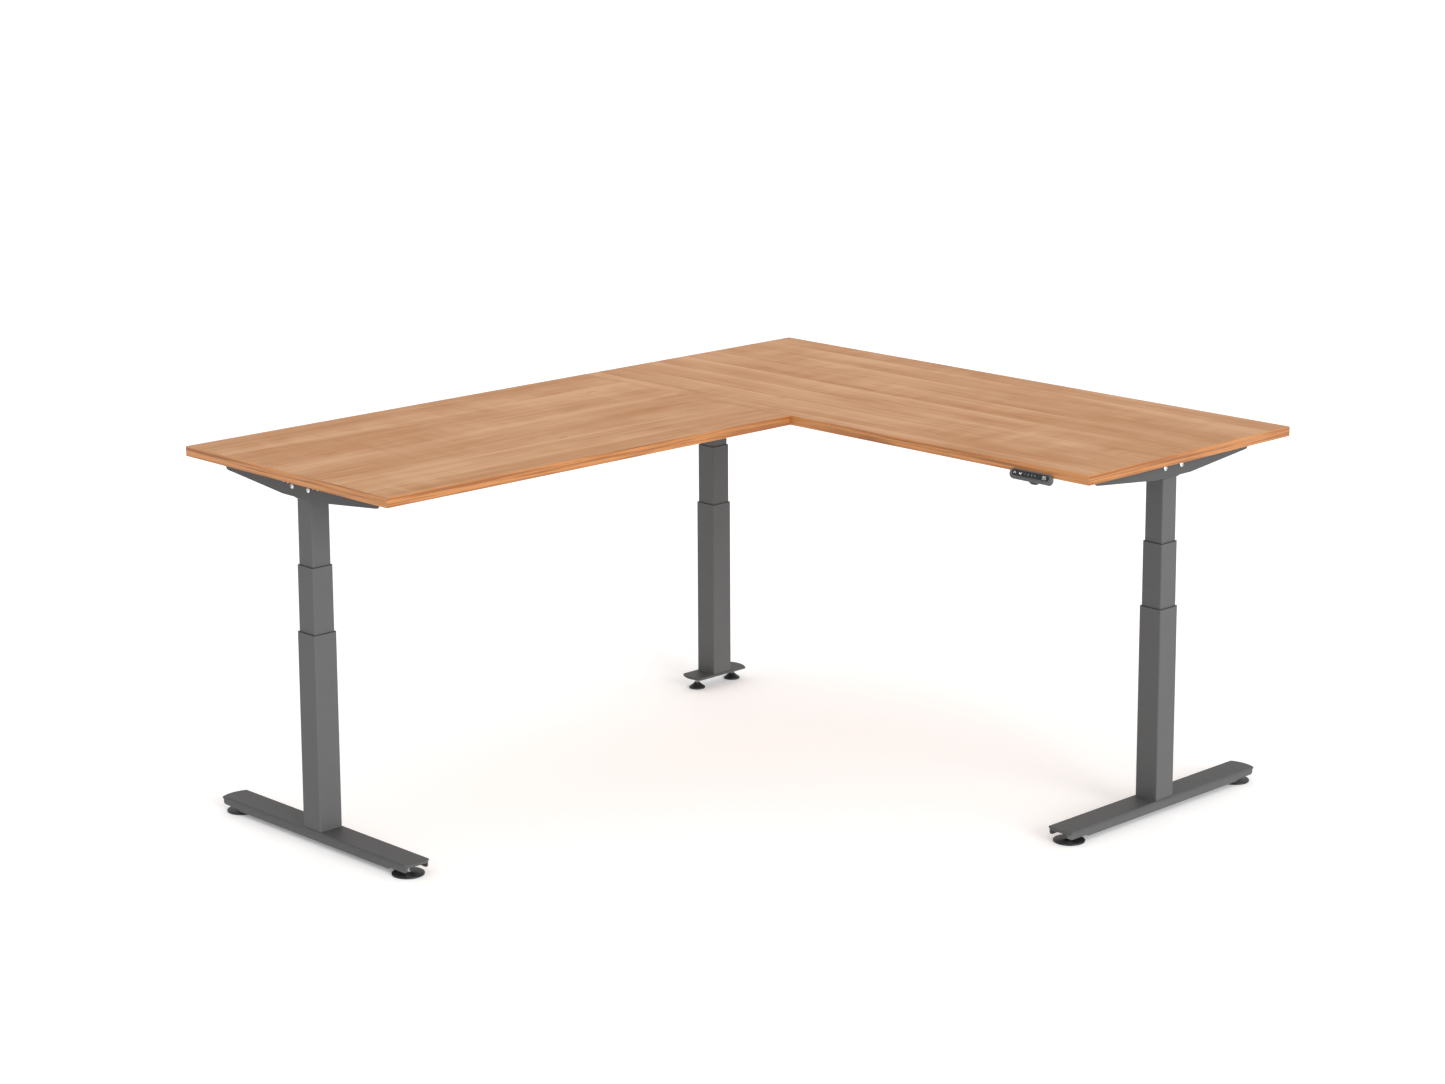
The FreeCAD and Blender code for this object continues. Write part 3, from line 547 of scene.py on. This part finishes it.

# %% [markdown]
# ## Powder coat and moulded plastic
# The steel frame has a fine-textured powder coat, and the plastic parts are moulded with a spark
# texture. Both are a base colour, a fine grain for bump and shade, and an edge mask that makes
# the edges a little lighter, partly as worn, thin coat and partly as a painted highlight. One
# function makes them all, and each finish is one call with its own colours, grain size and gloss.

# %% Coat and plastic materials
def coated_material(name, colour, edge_wear_and_highlight, roughness, grain, depth, contrast=0.12,
                    edge_wear_and_highlight_share=0.5, gloss=0.5):
    """A grainy surface. The grain's size and depth are in metres."""
    made, tree, shader, place = start_material(name)
    fine = use_group(tree, FINE_GRAIN, {"Position": place, "Size": grain,
                                        "Contrast": contrast})
    clouds = use_group(tree, FINE_GRAIN, {"Position": place, "Size": 0.06,
                                          "Contrast": contrast * 0.8})
    # the edges turn lighter: partly thin, worn coat and partly a painted highlight
    edges = use_group(tree, EDGES, {"Radius": 0.0015, "Gain": 3.0})["Mask"]
    share = do_maths(tree, "MULTIPLY", edges, edge_wear_and_highlight_share)
    painted = blend_colours(tree, share, (*colour, 1), (*edge_wear_and_highlight, 1))
    shade = do_maths(tree, "MULTIPLY", fine["Shade"], clouds["Shade"])
    final = add_node(tree, "VectorMath", {"operation": "SCALE"}, {0: painted, "Scale": shade})
    tree.links.new(final.outputs[0], shader.inputs["Base Color"])
    rough = do_maths(tree, "MULTIPLY_ADD", fine["Height"], 0.15, roughness - 0.075)
    tree.links.new(rough, shader.inputs["Roughness"])
    bump = add_node(tree, "Bump", None,
                    {"Height": fine["Height"], "Strength": 0.6, "Distance": depth})
    tree.links.new(bump.outputs[0], shader.inputs["Normal"])
    shader.inputs["Specular IOR Level"].default_value = gloss
    return made


FRAME_PAINT = coated_material("anthracite powder coat", (0.087, 0.088, 0.089),
                              (0.200, 0.200, 0.201), 0.50, 0.0012, 0.00012, gloss=0.25)
# a darker copy of the frame coat: painted shade for the plates and brackets
SHADED_PLATE_PAINT = coated_material("anthracite powder coat on plate", (0.073, 0.074, 0.075),
                              (0.210, 0.210, 0.211), 0.52, 0.0014, 0.00014, gloss=0.22)
MOTOR_PAINT = coated_material("satin black paint", (0.020, 0.020, 0.021),
                              (0.050, 0.050, 0.052), 0.42, 0.0010, 0.00005)
GLIDE_PLASTIC = coated_material("slippery black plastic", (0.012, 0.012, 0.012),
                                (0.020, 0.020, 0.020), 0.48, 0.0008, 0.00003)
FOOT_PLASTIC = coated_material("black foot plastic", (0.014, 0.014, 0.014),
                               (0.034, 0.034, 0.034), 0.50, 0.0009, 0.00008)
BOX_PLASTIC = coated_material("spark-textured black plastic", (0.022, 0.022, 0.023),
                              (0.045, 0.045, 0.047), 0.55, 0.0007, 0.00010)
KEYPAD_PLASTIC = coated_material("dark grey keypad plastic", (0.080, 0.084, 0.089),
                                 (0.120, 0.124, 0.128), 0.42, 0.0006, 0.00004)
KEYPAD_PANEL = coated_material("black keypad panel", (0.016, 0.016, 0.017),
                               (0.030, 0.030, 0.031), 0.34, 0.0010, 0.00001, contrast=0.06,
                              gloss=0.3)
KEYPAD_KEY = coated_material("black keypad key", (0.019, 0.019, 0.020),
                             (0.040, 0.040, 0.041), 0.36, 0.0010, 0.00001, contrast=0.06,
                             gloss=0.3)
print("coat and plastic materials made")

# %% [markdown]
# ## Bare metal
# Screws and studs are zinc plated, and the screw stages inside the columns are plain steel.
# Metal needs Metallic at 1, a light base colour, and marks in its roughness, because the marks
# are what tell an eye that it is metal and not grey paint.

# %% Metal materials
def metal_material(name, colour, roughness, along):
    """Metal with fine marks that run along an axis of the part, 0, 1 or 2."""
    made, tree, shader, place = start_material(name)
    position = grain_position(tree, place, along, (along + 1) % 3)
    marks = streaks(tree, position, 40.0, 1500.0, 1.0)
    clouds = use_group(tree, FINE_GRAIN, {"Position": place, "Size": 0.004, "Contrast": 0.3})
    tone = add_node(tree, "VectorMath", {"operation": "SCALE"},
                    {0: (*colour,), "Scale": clouds["Shade"]})
    tree.links.new(tone.outputs[0], shader.inputs["Base Color"])
    rough = do_maths(tree, "MULTIPLY_ADD", marks, 0.3, roughness - 0.15)
    tree.links.new(rough, shader.inputs["Roughness"])
    shader.inputs["Metallic"].default_value = 1.0
    bump = add_node(tree, "Bump", None, {"Height": marks, "Strength": 0.2,
                                         "Distance": 0.00005})
    tree.links.new(bump.outputs[0], shader.inputs["Normal"])
    return made


ZINC_STEEL = metal_material("zinc plated steel", (0.62, 0.63, 0.64), 0.42, 0)
SCREW_STEEL = metal_material("bright zinc screws", (0.70, 0.71, 0.72), 0.32, 1)
SPINDLE_STEEL = metal_material("greased spindle steel", (0.52, 0.52, 0.50), 0.38, 2)
print("metal materials made")

# %% [markdown]
# ## Putting the finishes on the frame
# The imported record says which finish each CAD part has, as a slot name. A dictionary from slot
# to material is all that is needed. A few parts are set again afterwards: the two boards share
# a slot but not a grain direction, and the thick plates and brackets get a coarser copy of the
# coat, darker than the tubes' as painted shade. The corner plate has two zinc-plated studs
# welded under it, so its paint gives way to bare thread below the plate.

# %% Bare studs under a painted plate
STUD_LEVEL = 30.5
STUD_PITCH = 1.75
STUD_COLOUR = (0.66, 0.67, 0.68, 1)


def bare_below(paint, level):
    """A copy of a paint that turns to bare threaded metal below a level, in metres."""
    made = paint.copy()
    made.name = paint.name + " with bare studs"
    tree = made.node_tree
    shader = tree.nodes["Principled BSDF"]
    place = add_node(tree, "TexCoord").outputs["Object"]
    height = add_node(tree, "SeparateXYZ", None, {0: place}).outputs[2]
    bare = do_maths(tree, "LESS_THAN", height, level)
    painted = shader.inputs["Base Color"].links[0].from_socket
    tree.links.new(blend_colours(tree, bare, painted, STUD_COLOUR), shader.inputs["Base Color"])
    tree.links.new(bare, shader.inputs["Metallic"])
    turns = do_maths(tree, "MULTIPLY", height, 2 * math.pi / (STUD_PITCH * MM))
    ridge = do_maths(tree, "MULTIPLY", do_maths(tree, "SINE", turns), bare)
    grain = shader.inputs["Normal"].links[0].from_socket
    thread = add_node(tree, "Bump", None, {"Height": ridge, "Normal": grain, "Strength": 1.0,
                                           "Distance": 0.0004})
    tree.links.new(thread.outputs[0], shader.inputs["Normal"])
    return made


print("stud thread pitch", STUD_PITCH, "mm")

# %% Finish every CAD node
FINISHES = {
    "board_surface": MAIN_BOARD,
    "edge_band": EDGE_BAND,
    "frame_paint": FRAME_PAINT,
    "motor_paint": MOTOR_PAINT,
    "zinc_steel": ZINC_STEEL,
    "screw_steel": SCREW_STEEL,
    "spindle_steel": SPINDLE_STEEL,
    "glide_plastic": GLIDE_PLASTIC,
    "foot_plastic": FOOT_PLASTIC,
    "box_plastic": BOX_PLASTIC,
    "keypad_plastic": KEYPAD_PLASTIC,
    "keypad_panel": KEYPAD_PANEL,
    "keypad_key": KEYPAD_KEY,
}


def finish_node(name, material):
    """Put a material in every slot of a CAD part."""
    part = frame["nodes"][name]
    for holder in part.material_slots:
        holder.material = material


for part in frame["record"]["subparts"]:
    finish_node(part["node"], FINISHES[part["material_slot"]])
finish_node("side_top", SIDE_BOARD)
# plates and brackets take the darker coat, which is painted shade
for name in ("left_foot_plate", "right_foot_plate", "left_bracket", "right_bracket",
             "corner_bracket"):
    finish_node(name, SHADED_PLATE_PAINT)
finish_node("corner_base_plate", bare_below(SHADED_PLATE_PAINT, cad_low[2] + STUD_LEVEL * MM))

# %% [markdown]
# ## Pieces built in mesh code
# The feet and the keypad's moulding are shapes of closed loops: a turned foot is a stack of
# circles, and a moulding is a stack of rounded outlines. Lofting, which joins each loop to the
# next with a band of faces, makes both, so one helper builds them all. A second helper turns the
# result into an object, gives it its finish and lets it ride on its body. Faces are shaded
# smooth except across sharp corners, as on a moulded or turned part. A third makes small blocks
# with rounded corners, such as a clip or a rib, from a stack of rounded rectangles.

# %% Loft helpers
def loft(shape, loops):
    """Join closed loops of points, each to the next, and cap the first and the last."""
    rings = [[shape.verts.new(point) for point in loop] for loop in loops]
    count = len(rings[0])
    for ring, after in zip(rings, rings[1:]):
        for place in range(count):
            beside = (place + 1) % count
            shape.faces.new((ring[place], ring[beside], after[beside], after[place]))
    shape.faces.new(rings[0][::-1])
    shape.faces.new(rings[-1])
    bmesh.ops.recalc_face_normals(shape, faces=shape.faces)


def ring_of(middle, radius, height, sides):
    """A level circle, or a hexagon when it has six sides. Sizes are in millimetres."""
    turn = 2 * math.pi / sides
    return [(middle[0] + radius * MM * math.cos(turn * step),
             middle[1] + radius * MM * math.sin(turn * step),
             middle[2] + height * MM) for step in range(sides)]


def make_piece(name, shape, material, body, sharp_from=40):
    """An object from a bmesh, with its finish, riding on its body."""
    mesh = bpy.data.meshes.new(name)
    shape.to_mesh(mesh)
    shape.free()
    mesh.materials.append(material)
    mesh.shade_smooth()
    mesh.set_sharp_from_angle(angle=math.radians(sharp_from))
    piece = bpy.data.objects.new(name, mesh)
    bpy.context.collection.objects.link(piece)
    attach(piece, body)
    return piece


print("loft helpers ready")

# %% Rounded slabs
def rounded_slab(shape, middle, axes, levels, steps=4):
    """Loft rounded rectangles. Axes are long, wide and out; levels (long, wide, corner, out)."""
    long_way, wide_way, out_way = axes
    loops = []
    for half_long, half_wide, corner, out in levels:
        loop = []
        for right, up, start in ((1, 1, 0), (-1, 1, 90), (-1, -1, 180), (1, -1, 270)):
            for step in range(steps + 1):
                angle = math.radians(start + 90 * step / steps)
                across = right * (half_long - corner) + corner * math.cos(angle)
                rise = up * (half_wide - corner) + corner * math.sin(angle)
                loop.append(Vector(middle) + (long_way * across + wide_way * rise
                                              + out_way * out) * MM)
        loops.append(loop)
    loft(shape, loops)


X_WAY, Y_WAY, Z_WAY = Vector((1, 0, 0)), Vector((0, 1, 0)), Vector((0, 0, 1))
print("rounded slab helper ready")

# %% [markdown]
# ## Levelling feet
# Under each T foot are two flat discs on threaded studs, and under the corner leg two black
# cones. All are turned shapes, so each is a profile of radius and height in millimetres. The
# disc has a rounded rim with a fine groove inside it, a raised hub and a flat hexagon to turn it
# by. A thread at this size reads as rings, so the stud's profile simply steps in and out at its
# pitch.

# %% Profiles of the feet
DISC_PAD = [(38.6, 0), (39.6, 0.5), (40, 1.3), (40, 3.3), (39.5, 4.1), (38.6, 4.5), (37.2, 4.5),
            (36.9, 4.2), (36.3, 4.2), (36.0, 4.5), (24, 4.6), (15, 4.9), (11.5, 5.7),
            (10.2, 6.9), (9.6, 8.0), (8.9, 8.5)]
CONE_PAD = [(21.6, 0), (22.8, 0.5), (23.2, 1.5), (23.2, 3.4), (22.7, 4.4), (21.4, 5.3),
            (18.2, 7.4), (14.8, 9.9), (12.0, 12.3), (10.0, 14.2), (8.6, 15.6), (8.0, 16.6),
            (7.8, 17.6), (7.3, 18.0), (6.6, 18.0), (6.4, 17.6), (6.4, 4.2)]
THREAD_PITCH = 1.5
THREAD_DEPTH = 0.55
STUD_RADIUS = 5.0
STUD_TOP = 25.4
STUD_POINT = 0.7
HEX_RADIUS = 9.6
HEX_LOW = 8.5
HEX_TOP = 11.7
HEX_SLOPE = 0.7
HEX_SLOPE_TALL = 0.4
HEXAGON = [(HEX_RADIUS - HEX_SLOPE, HEX_LOW), (HEX_RADIUS, HEX_LOW + HEX_SLOPE_TALL),
           (HEX_RADIUS, HEX_TOP - HEX_SLOPE_TALL), (HEX_RADIUS - HEX_SLOPE, HEX_TOP)]


def thread_profile(low, top):
    """The stud's radius and height at each crest and root of its thread."""
    profile = [(STUD_RADIUS, low)]
    height = low
    while height < top - THREAD_PITCH:
        profile.append((STUD_RADIUS - THREAD_DEPTH, height + THREAD_PITCH * 0.5))
        profile.append((STUD_RADIUS, height + THREAD_PITCH))
        height += THREAD_PITCH
    return profile + [(STUD_RADIUS - STUD_POINT, top)]


STUD = thread_profile(HEX_TOP, STUD_TOP)
print("profiles:", len(DISC_PAD), "points for a disc,", len(CONE_PAD), "for a cone")

# %% Levelling feet
def turned(name, node, profile, material, slot, sides=72):
    """A turned piece that stands in the middle of a foot's box and rides on it."""
    low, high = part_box(node)
    middle = ((low[0] + high[0]) / 2, (low[1] + high[1]) / 2, low[2])
    shape = bmesh.new()
    loft(shape, [ring_of(middle, radius, height, sides) for radius, height in profile])
    return make_piece(name, shape, material, node, 32)


DISC_FEET = ("left_leveller_left", "left_leveller_right",
             "right_leveller_front", "right_leveller_rear")
CONE_FEET = ("corner_leveller_front", "corner_leveller_rear")
for foot in DISC_FEET:
    pad = turned(foot + "_pad", foot, DISC_PAD, FOOT_PLASTIC, "foot_plastic")
    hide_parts(foot)
    turned(foot + "_hexagon", foot, HEXAGON, SCREW_STEEL, "screw_steel", sides=6)
    turned(foot + "_stud", foot, STUD, SCREW_STEEL, "screw_steel", sides=40)
for foot in CONE_FEET:
    pad = turned(foot + "_pad", foot, CONE_PAD, FOOT_PLASTIC, "foot_plastic")
    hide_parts(foot)
print("turned", len(DISC_FEET), "disc feet and", len(CONE_FEET), "cone feet")

# %% [markdown]
# ## Clips in the bracket slots
# Each bracket has four narrow slots in its face, and in the foot of each slot the bright end of
# a clip just shows. The clips are small bent tabs, so each is a rounded slab set a little
# behind the face. Their places come from the bracket's box and the column's axis.

# %% Bracket clips
SLOT_PLACES = (-68, -50, 50, 68)
CLIP_DROP = 18.0
CLIP = [(2.9, 1.9, 0.5, -2.4), (2.9, 1.9, 0.5, -0.5), (2.6, 1.6, 0.4, -0.2)]


def bracket_clips(leg, out_way, along_way):
    """The four clips of a bracket, whose face looks along out_way."""
    low, high = (Vector(corner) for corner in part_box(leg + "_bracket"))
    tube_low, tube_high = (Vector(corner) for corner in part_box(leg + "_inner_tube"))
    axis = (tube_low + tube_high) / 2
    face = max(low.dot(out_way), high.dot(out_way))
    middle = axis + out_way * (face - axis.dot(out_way))
    middle.z = high.z - CLIP_DROP * MM
    shape = bmesh.new()
    for place in SLOT_PLACES:
        rounded_slab(shape, middle + along_way * place * MM, (Z_WAY, along_way, out_way), CLIP)
    make_piece(leg + "_bracket_clips", shape, SCREW_STEEL, "desk")


bracket_clips("left", -Y_WAY, X_WAY)
bracket_clips("right", X_WAY, Y_WAY)
bracket_clips("corner", -X_WAY, Y_WAY)
print("bracket clips made")

# %% [markdown]
# ## The keypad's moulding
# The keypad is a rounded bar under the edge, whose face leans back a little. A raised lip runs
# round the dark panel, two soft ribs run below it, and behind them the moulding narrows towards
# its fixing under the top. Every one of those is a line that runs right round the bar, so the
# moulding is a loft of rounded outlines, from the recess outwards and then back. Each outline
# is given by half its length, the radius of its corners, and the height and depth of its top
# and its bottom, in millimetres on the face.

# %% Keypad face
FACE_TILT = math.radians(69.3)
PANEL_THICK = 1.2
FACE_UP = Vector((0, math.cos(FACE_TILT), math.sin(FACE_TILT)))
FACE_OUT = Vector((0, -math.sin(FACE_TILT), math.cos(FACE_TILT)))
panel_low, panel_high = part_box("keypad_panel")
FACE_MIDDLE = (Vector(panel_low) + Vector(panel_high)) / 2 + FACE_OUT * PANEL_THICK / 2 * MM


def on_face(along, up, out):
    """A place on the keypad: along it, up its face and out of it, in millimetres."""
    return FACE_MIDDLE + (Vector((along, 0, 0)) + FACE_UP * up + FACE_OUT * out) * MM


def rounded_outline(half, corner, top, bottom, steps=9):
    """Points round a bar. Top and bottom are (height, depth), and the depth slopes between."""
    corner = min(corner, (top[0] - bottom[0]) / 2 - 0.01)
    points = []
    for side, level, start in ((1, top[0] - corner, 0), (-1, top[0] - corner, 90),
                               (-1, bottom[0] + corner, 180), (1, bottom[0] + corner, 270)):
        for step in range(steps + 1):
            angle = math.radians(start + 90 * step / steps)
            along = side * (half - corner) + corner * math.cos(angle)
            up = level + corner * math.sin(angle)
            share = (top[0] - up) / (top[0] - bottom[0])
            points.append(on_face(along, up, top[1] + (bottom[1] - top[1]) * share))
    return points


print("keypad face at", tuple(round(part, 4) for part in FACE_MIDDLE))

# %% Keypad moulding
MOULDING = [
    (59.15, 7.10, (7.15, -2.4), (-7.15, -2.4)),
    (59.15, 7.10, (7.15, 0.4), (-7.15, 0.4)),
    (59.6, 7.4, (7.5, 0.95), (-7.5, 0.95)),
    (60.6, 8.1, (8.2, 1.15), (-8.3, 1.10)),
    (61.6, 8.8, (8.8, 1.0), (-9.0, 0.6)),
    (62.4, 9.2, (9.1, 0.7), (-9.3, -0.5)),
    (63.6, 9.6, (9.4, 0.3), (-9.9, -0.9)),
    (64.8, 10.1, (9.6, -0.2), (-10.3, -0.2)),
    (66.0, 10.6, (9.75, -0.7), (-11.1, -0.2)),
    (66.8, 10.9, (9.85, -1.2), (-12.2, -1.5)),
    (67.3, 11.2, (9.95, -1.7), (-12.5, -3.0)),
    (67.8, 11.6, (10, -2.2), (-13.0, -3.3)),
    (68.3, 12.0, (10, -2.7), (-13.3, -2.8)),
    (68.7, 12.3, (10, -3.2), (-14.4, -3.7)),
    (69.0, 12.7, (9.95, -3.7), (-15.5, -5.6)),
    (69.0, 12.7, (9.6, -4.3), (-15.8, -8.0)),
    (66.4, 11.0, (5.0, -6.05), (-15.3, -10.0)),
    (62.4, 9.5, (2.6, -6.95), (-14.6, -12.0)),
    (50.0, 8.0, (7.4, -19.0), (-9.4, -20.0)),
    (42.0, 3.0, (11.7, -30.4), (4.8, -32.6)),
]
shape = bmesh.new()
loft(shape, [rounded_outline(*outline) for outline in MOULDING])
housing = make_piece("keypad_moulding", shape, KEYPAD_PLASTIC, "desk", 38)
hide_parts("keypad_housing")
print("keypad moulding:", len(housing.data.polygons), "faces")

# %% [markdown]
# ## The keypad's cable boss
# Under the moulding, a little right of its middle, is a low boss where the lead's plug goes in.
# Ovals that shrink as they go down make it, and its last few loops round it off.

# %% Keypad cable boss
BOSS_MIDDLE = (6.0, -12.5, -12.0)
BOSS_LOOPS = [(15.5, 7.0, 0.0), (15.0, 7.0, 2.6), (13.2, 6.4, 4.6), (10.6, 5.2, 6.2),
              (7.2, 3.4, 7.2), (3.0, 1.4, 7.6)]


def oval(half_long, half_wide, down, sides=48):
    """A level oval, which hangs a distance under the boss's middle."""
    middle = on_face(*BOSS_MIDDLE)
    turn = 2 * math.pi / sides
    return [middle + Vector((half_long * math.cos(turn * step), half_wide * math.sin(turn * step),
                             -down)) * MM for step in range(sides)]


shape = bmesh.new()
loft(shape, [oval(*sizes) for sizes in BOSS_LOOPS])
make_piece("keypad_cable_boss", shape, BOX_PLASTIC, "desk")
print("cable boss", BOSS_LOOPS[-1][2], "mm deep")

# %% [markdown]
# ## Signs and display
# The signs are printed on the keys and the height shows through the panel as two slanted
# seven-segment digits. The digits are lit, and the printed signs glow a little too, which is a
# painted highlight. Both are thin strokes on the face, so a helper turns a line of points
# into a flat bar with mitred corners, a tenth of a millimetre proud so that it never flickers
# into the panel. A sign rides on its key and goes down with it.

# %% Sign material
def sign_material(name, colour, glow):
    """Print or a lit segment: a pale grey that shines a little by itself. On print the glow is a
    painted highlight.
    """
    made, tree, shader, place = start_material(name)
    fine = use_group(tree, FINE_GRAIN, {"Position": place, "Size": 0.0004, "Contrast": 0.25})
    tone = add_node(tree, "VectorMath", {"operation": "SCALE"}, {0: colour,
                                                               "Scale": fine["Shade"]})
    tree.links.new(tone.outputs[0], shader.inputs["Base Color"])
    tree.links.new(tone.outputs[0], shader.inputs["Emission Color"])
    shader.inputs["Emission Strength"].default_value = glow
    shader.inputs["Roughness"].default_value = 0.5
    return made


# the printed signs glow a little: a painted highlight, as print is no lamp
SIGN_PRINT = sign_material("grey sign print with a painted glow", (0.50, 0.50, 0.50), 0.10)
SIGN_BRIGHT = sign_material("lit white segment and glowing print", (0.62, 0.63, 0.63), 0.25)
print("sign materials:", SIGN_PRINT.name, "and", SIGN_BRIGHT.name)

# %% Strokes
SIGN_PROUD = 0.10
SHARPEST_MITRE = 0.4


def add_stroke(shape, line, width, middle=0.0):
    """A flat bar along a line of (along, up) points."""
    sides = []
    for place, point in enumerate(line):
        here = Vector(point)
        before = Vector(line[max(place - 1, 0)])
        after = Vector(line[min(place + 1, len(line) - 1)])
        way = ((here - before).normalized() + (after - here).normalized()).normalized()
        step = Vector((-way.y, way.x)) * width / 2
        inner = (after - here).normalized() if place == 0 else (here - before).normalized()
        step /= max(step.normalized().dot(Vector((-inner.y, inner.x))), SHARPEST_MITRE)
        sides.append((here + step, here - step))
    outline = [pair[0] for pair in sides] + [pair[1] for pair in reversed(sides)]
    loops = [[on_face(middle + along, up, out) for along, up in outline]
             for out in (0.0, SIGN_PROUD)]
    loft(shape, loops)


print("strokes stand", SIGN_PROUD, "mm proud")

# %% Digits
DIGIT_LEAN = 0.14
SEGMENT_GAP = 0.15
SEGMENTS = {"top": ((0, 2), (1, 2)), "middle": ((0, 1), (1, 1)), "bottom": ((0, 0), (1, 0)),
            "high left": ((0, 1), (0, 2)), "high right": ((1, 1), (1, 2)),
            "low left": ((0, 0), (0, 1)), "low right": ((1, 0), (1, 1))}
DIGITS = {
    "1": ("high right", "low right"),
    "2": ("top", "high right", "middle", "low left", "bottom"),
    "3": ("top", "high right", "middle", "low right", "bottom"),
    "4": ("high left", "middle", "high right", "low right"),
    "5": ("top", "high left", "middle", "low right", "bottom"),
    "9": ("top", "high left", "high right", "middle", "low right", "bottom"),
}


def add_digit(shape, digit, middle, wide, tall, width):
    """A slanted digit about a middle along the face, in strokes of one width."""
    for segment in DIGITS[digit]:
        line = []
        for along, up in SEGMENTS[segment]:
            rise = (up - 1) * tall / 2
            line.append(((along - 0.5) * wide + rise * DIGIT_LEAN, rise))
        gap = (Vector(line[1]) - Vector(line[0])).normalized() * width * SEGMENT_GAP
        add_stroke(shape, [Vector(line[0]) + gap, Vector(line[1]) - gap], width, middle)


print("digits:", " ".join(DIGITS))

# %% Signs on the keys and the display
ARROW = [(-4.0, -2.0), (0.0, 2.2), (4.0, -2.0)]
ARROW_DOWN = [(along, -up) for along, up in ARROW]
MEMORY_PLACES = (-17.5, -7.0, 3.5, 14.0)
DISPLAY_PLACES = (("9", 39.8), ("5", 46.4))


def add_sign(name, body, middle, material, draw):
    """A sign as a piece of its own, drawn by a function and riding on a key or the desk."""
    shape = bmesh.new()
    draw(shape, middle)
    return make_piece(name, shape, material, body)


add_sign("up_sign", "up_key", -50.0, SIGN_PRINT,
         lambda shape, middle: add_stroke(shape, ARROW, 1.7, middle))
# the down sign is print, yet it takes the segments' stronger glow: a painted highlight
add_sign("down_sign", "down_key", -32.0, SIGN_BRIGHT,
         lambda shape, middle: add_stroke(shape, ARROW_DOWN, 1.9, middle))
for number, middle in enumerate(MEMORY_PLACES, 1):
    add_sign(f"memory_sign_{number}", f"memory_key_{number}", middle, SIGN_PRINT,
             lambda shape, middle: add_digit(shape, str(number), middle, 1.7, 3.4, 0.5))
for digit, middle in DISPLAY_PLACES:
    add_sign(f"display_{digit}", "desk", middle, SIGN_BRIGHT,
             lambda shape, middle: add_digit(shape, digit, middle, 3.7, 7.6, 1.0))
print("keypad signs made")

# %% [markdown]
# ## Control box details
# The electronics box is screwed up under the top, so its small features are only seen from
# below, but they say what it is: three flat pins in the mains inlet, a row of open sockets for
# the motor and keypad plugs, and ribs over the vents. Each is a stack of rounded rectangles
# again. A socket goes up its outside, over its rim and down its inside, which makes it hollow.

# %% Mains pins
SCREW_EAR = 14
PIN = [(2.0, 1.0, 0.3, 0.0), (2.0, 1.0, 0.3, 11.0), (1.5, 0.6, 0.3, 12.0)]
PIN_BACK = 16.5
PIN_PLACES = ((18, 12.0), (32, 12.0), (25, 17.0))
box_low, box_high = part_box("control_box")
box_end = box_high[0] - SCREW_EAR * MM


def end_place(back, across, up):
    """A place near the box's plug end, in millimetres from that end, its side and its base."""
    return (box_end - back * MM, box_low[1] + across * MM, box_low[2] + up * MM)


shape = bmesh.new()
for across, up in PIN_PLACES:
    rounded_slab(shape, end_place(PIN_BACK, across, up), (Z_WAY, Y_WAY, X_WAY), PIN)
make_piece("control_box_mains_pins", shape, ZINC_STEEL, "desk")
print(len(PIN_PLACES), "mains pins")

# %% Plug sockets
SOCKET = [(3.6, 4.2, 0.6, 0.0), (3.6, 4.2, 0.6, 9.0), (3.3, 3.9, 0.5, 9.4), (2.8, 3.4, 0.3, 9.4),
          (2.6, 3.2, 0.3, 9.0), (2.6, 3.2, 0.3, 1.5)]
SOCKET_BACK = 12.5
SOCKET_UP = 15.0
SOCKET_FIRST = 56
SOCKET_STEP = 9.4
SOCKET_COUNT = 4
shape = bmesh.new()
for number in range(SOCKET_COUNT):
    middle = end_place(SOCKET_BACK, SOCKET_FIRST + number * SOCKET_STEP, SOCKET_UP)
    rounded_slab(shape, middle, (Y_WAY, Z_WAY, X_WAY), SOCKET)
make_piece("control_box_sockets", shape, GLIDE_PLASTIC, "desk")
print(SOCKET_COUNT, "plug sockets")

# %% Vent ribs
RIB = [(30, 1.5, 1.4, -0.5), (30, 1.5, 1.4, 0.0), (29.4, 0.9, 0.8, 1.1), (29, 0.5, 0.4, 1.2)]
RIB_FIRST = 75
RIB_STEP = 10
RIB_COUNT = 14
shape = bmesh.new()
for number in range(RIB_COUNT):
    across = box_low[0] + (RIB_FIRST + number * RIB_STEP) * MM
    middle = (across, (box_low[1] + box_high[1]) / 2, box_low[2])
    rounded_slab(shape, middle, (Y_WAY, X_WAY, -Z_WAY), RIB)
make_piece("control_box_ribs", shape, BOX_PLASTIC, "desk")
print(RIB_COUNT, "vent ribs")
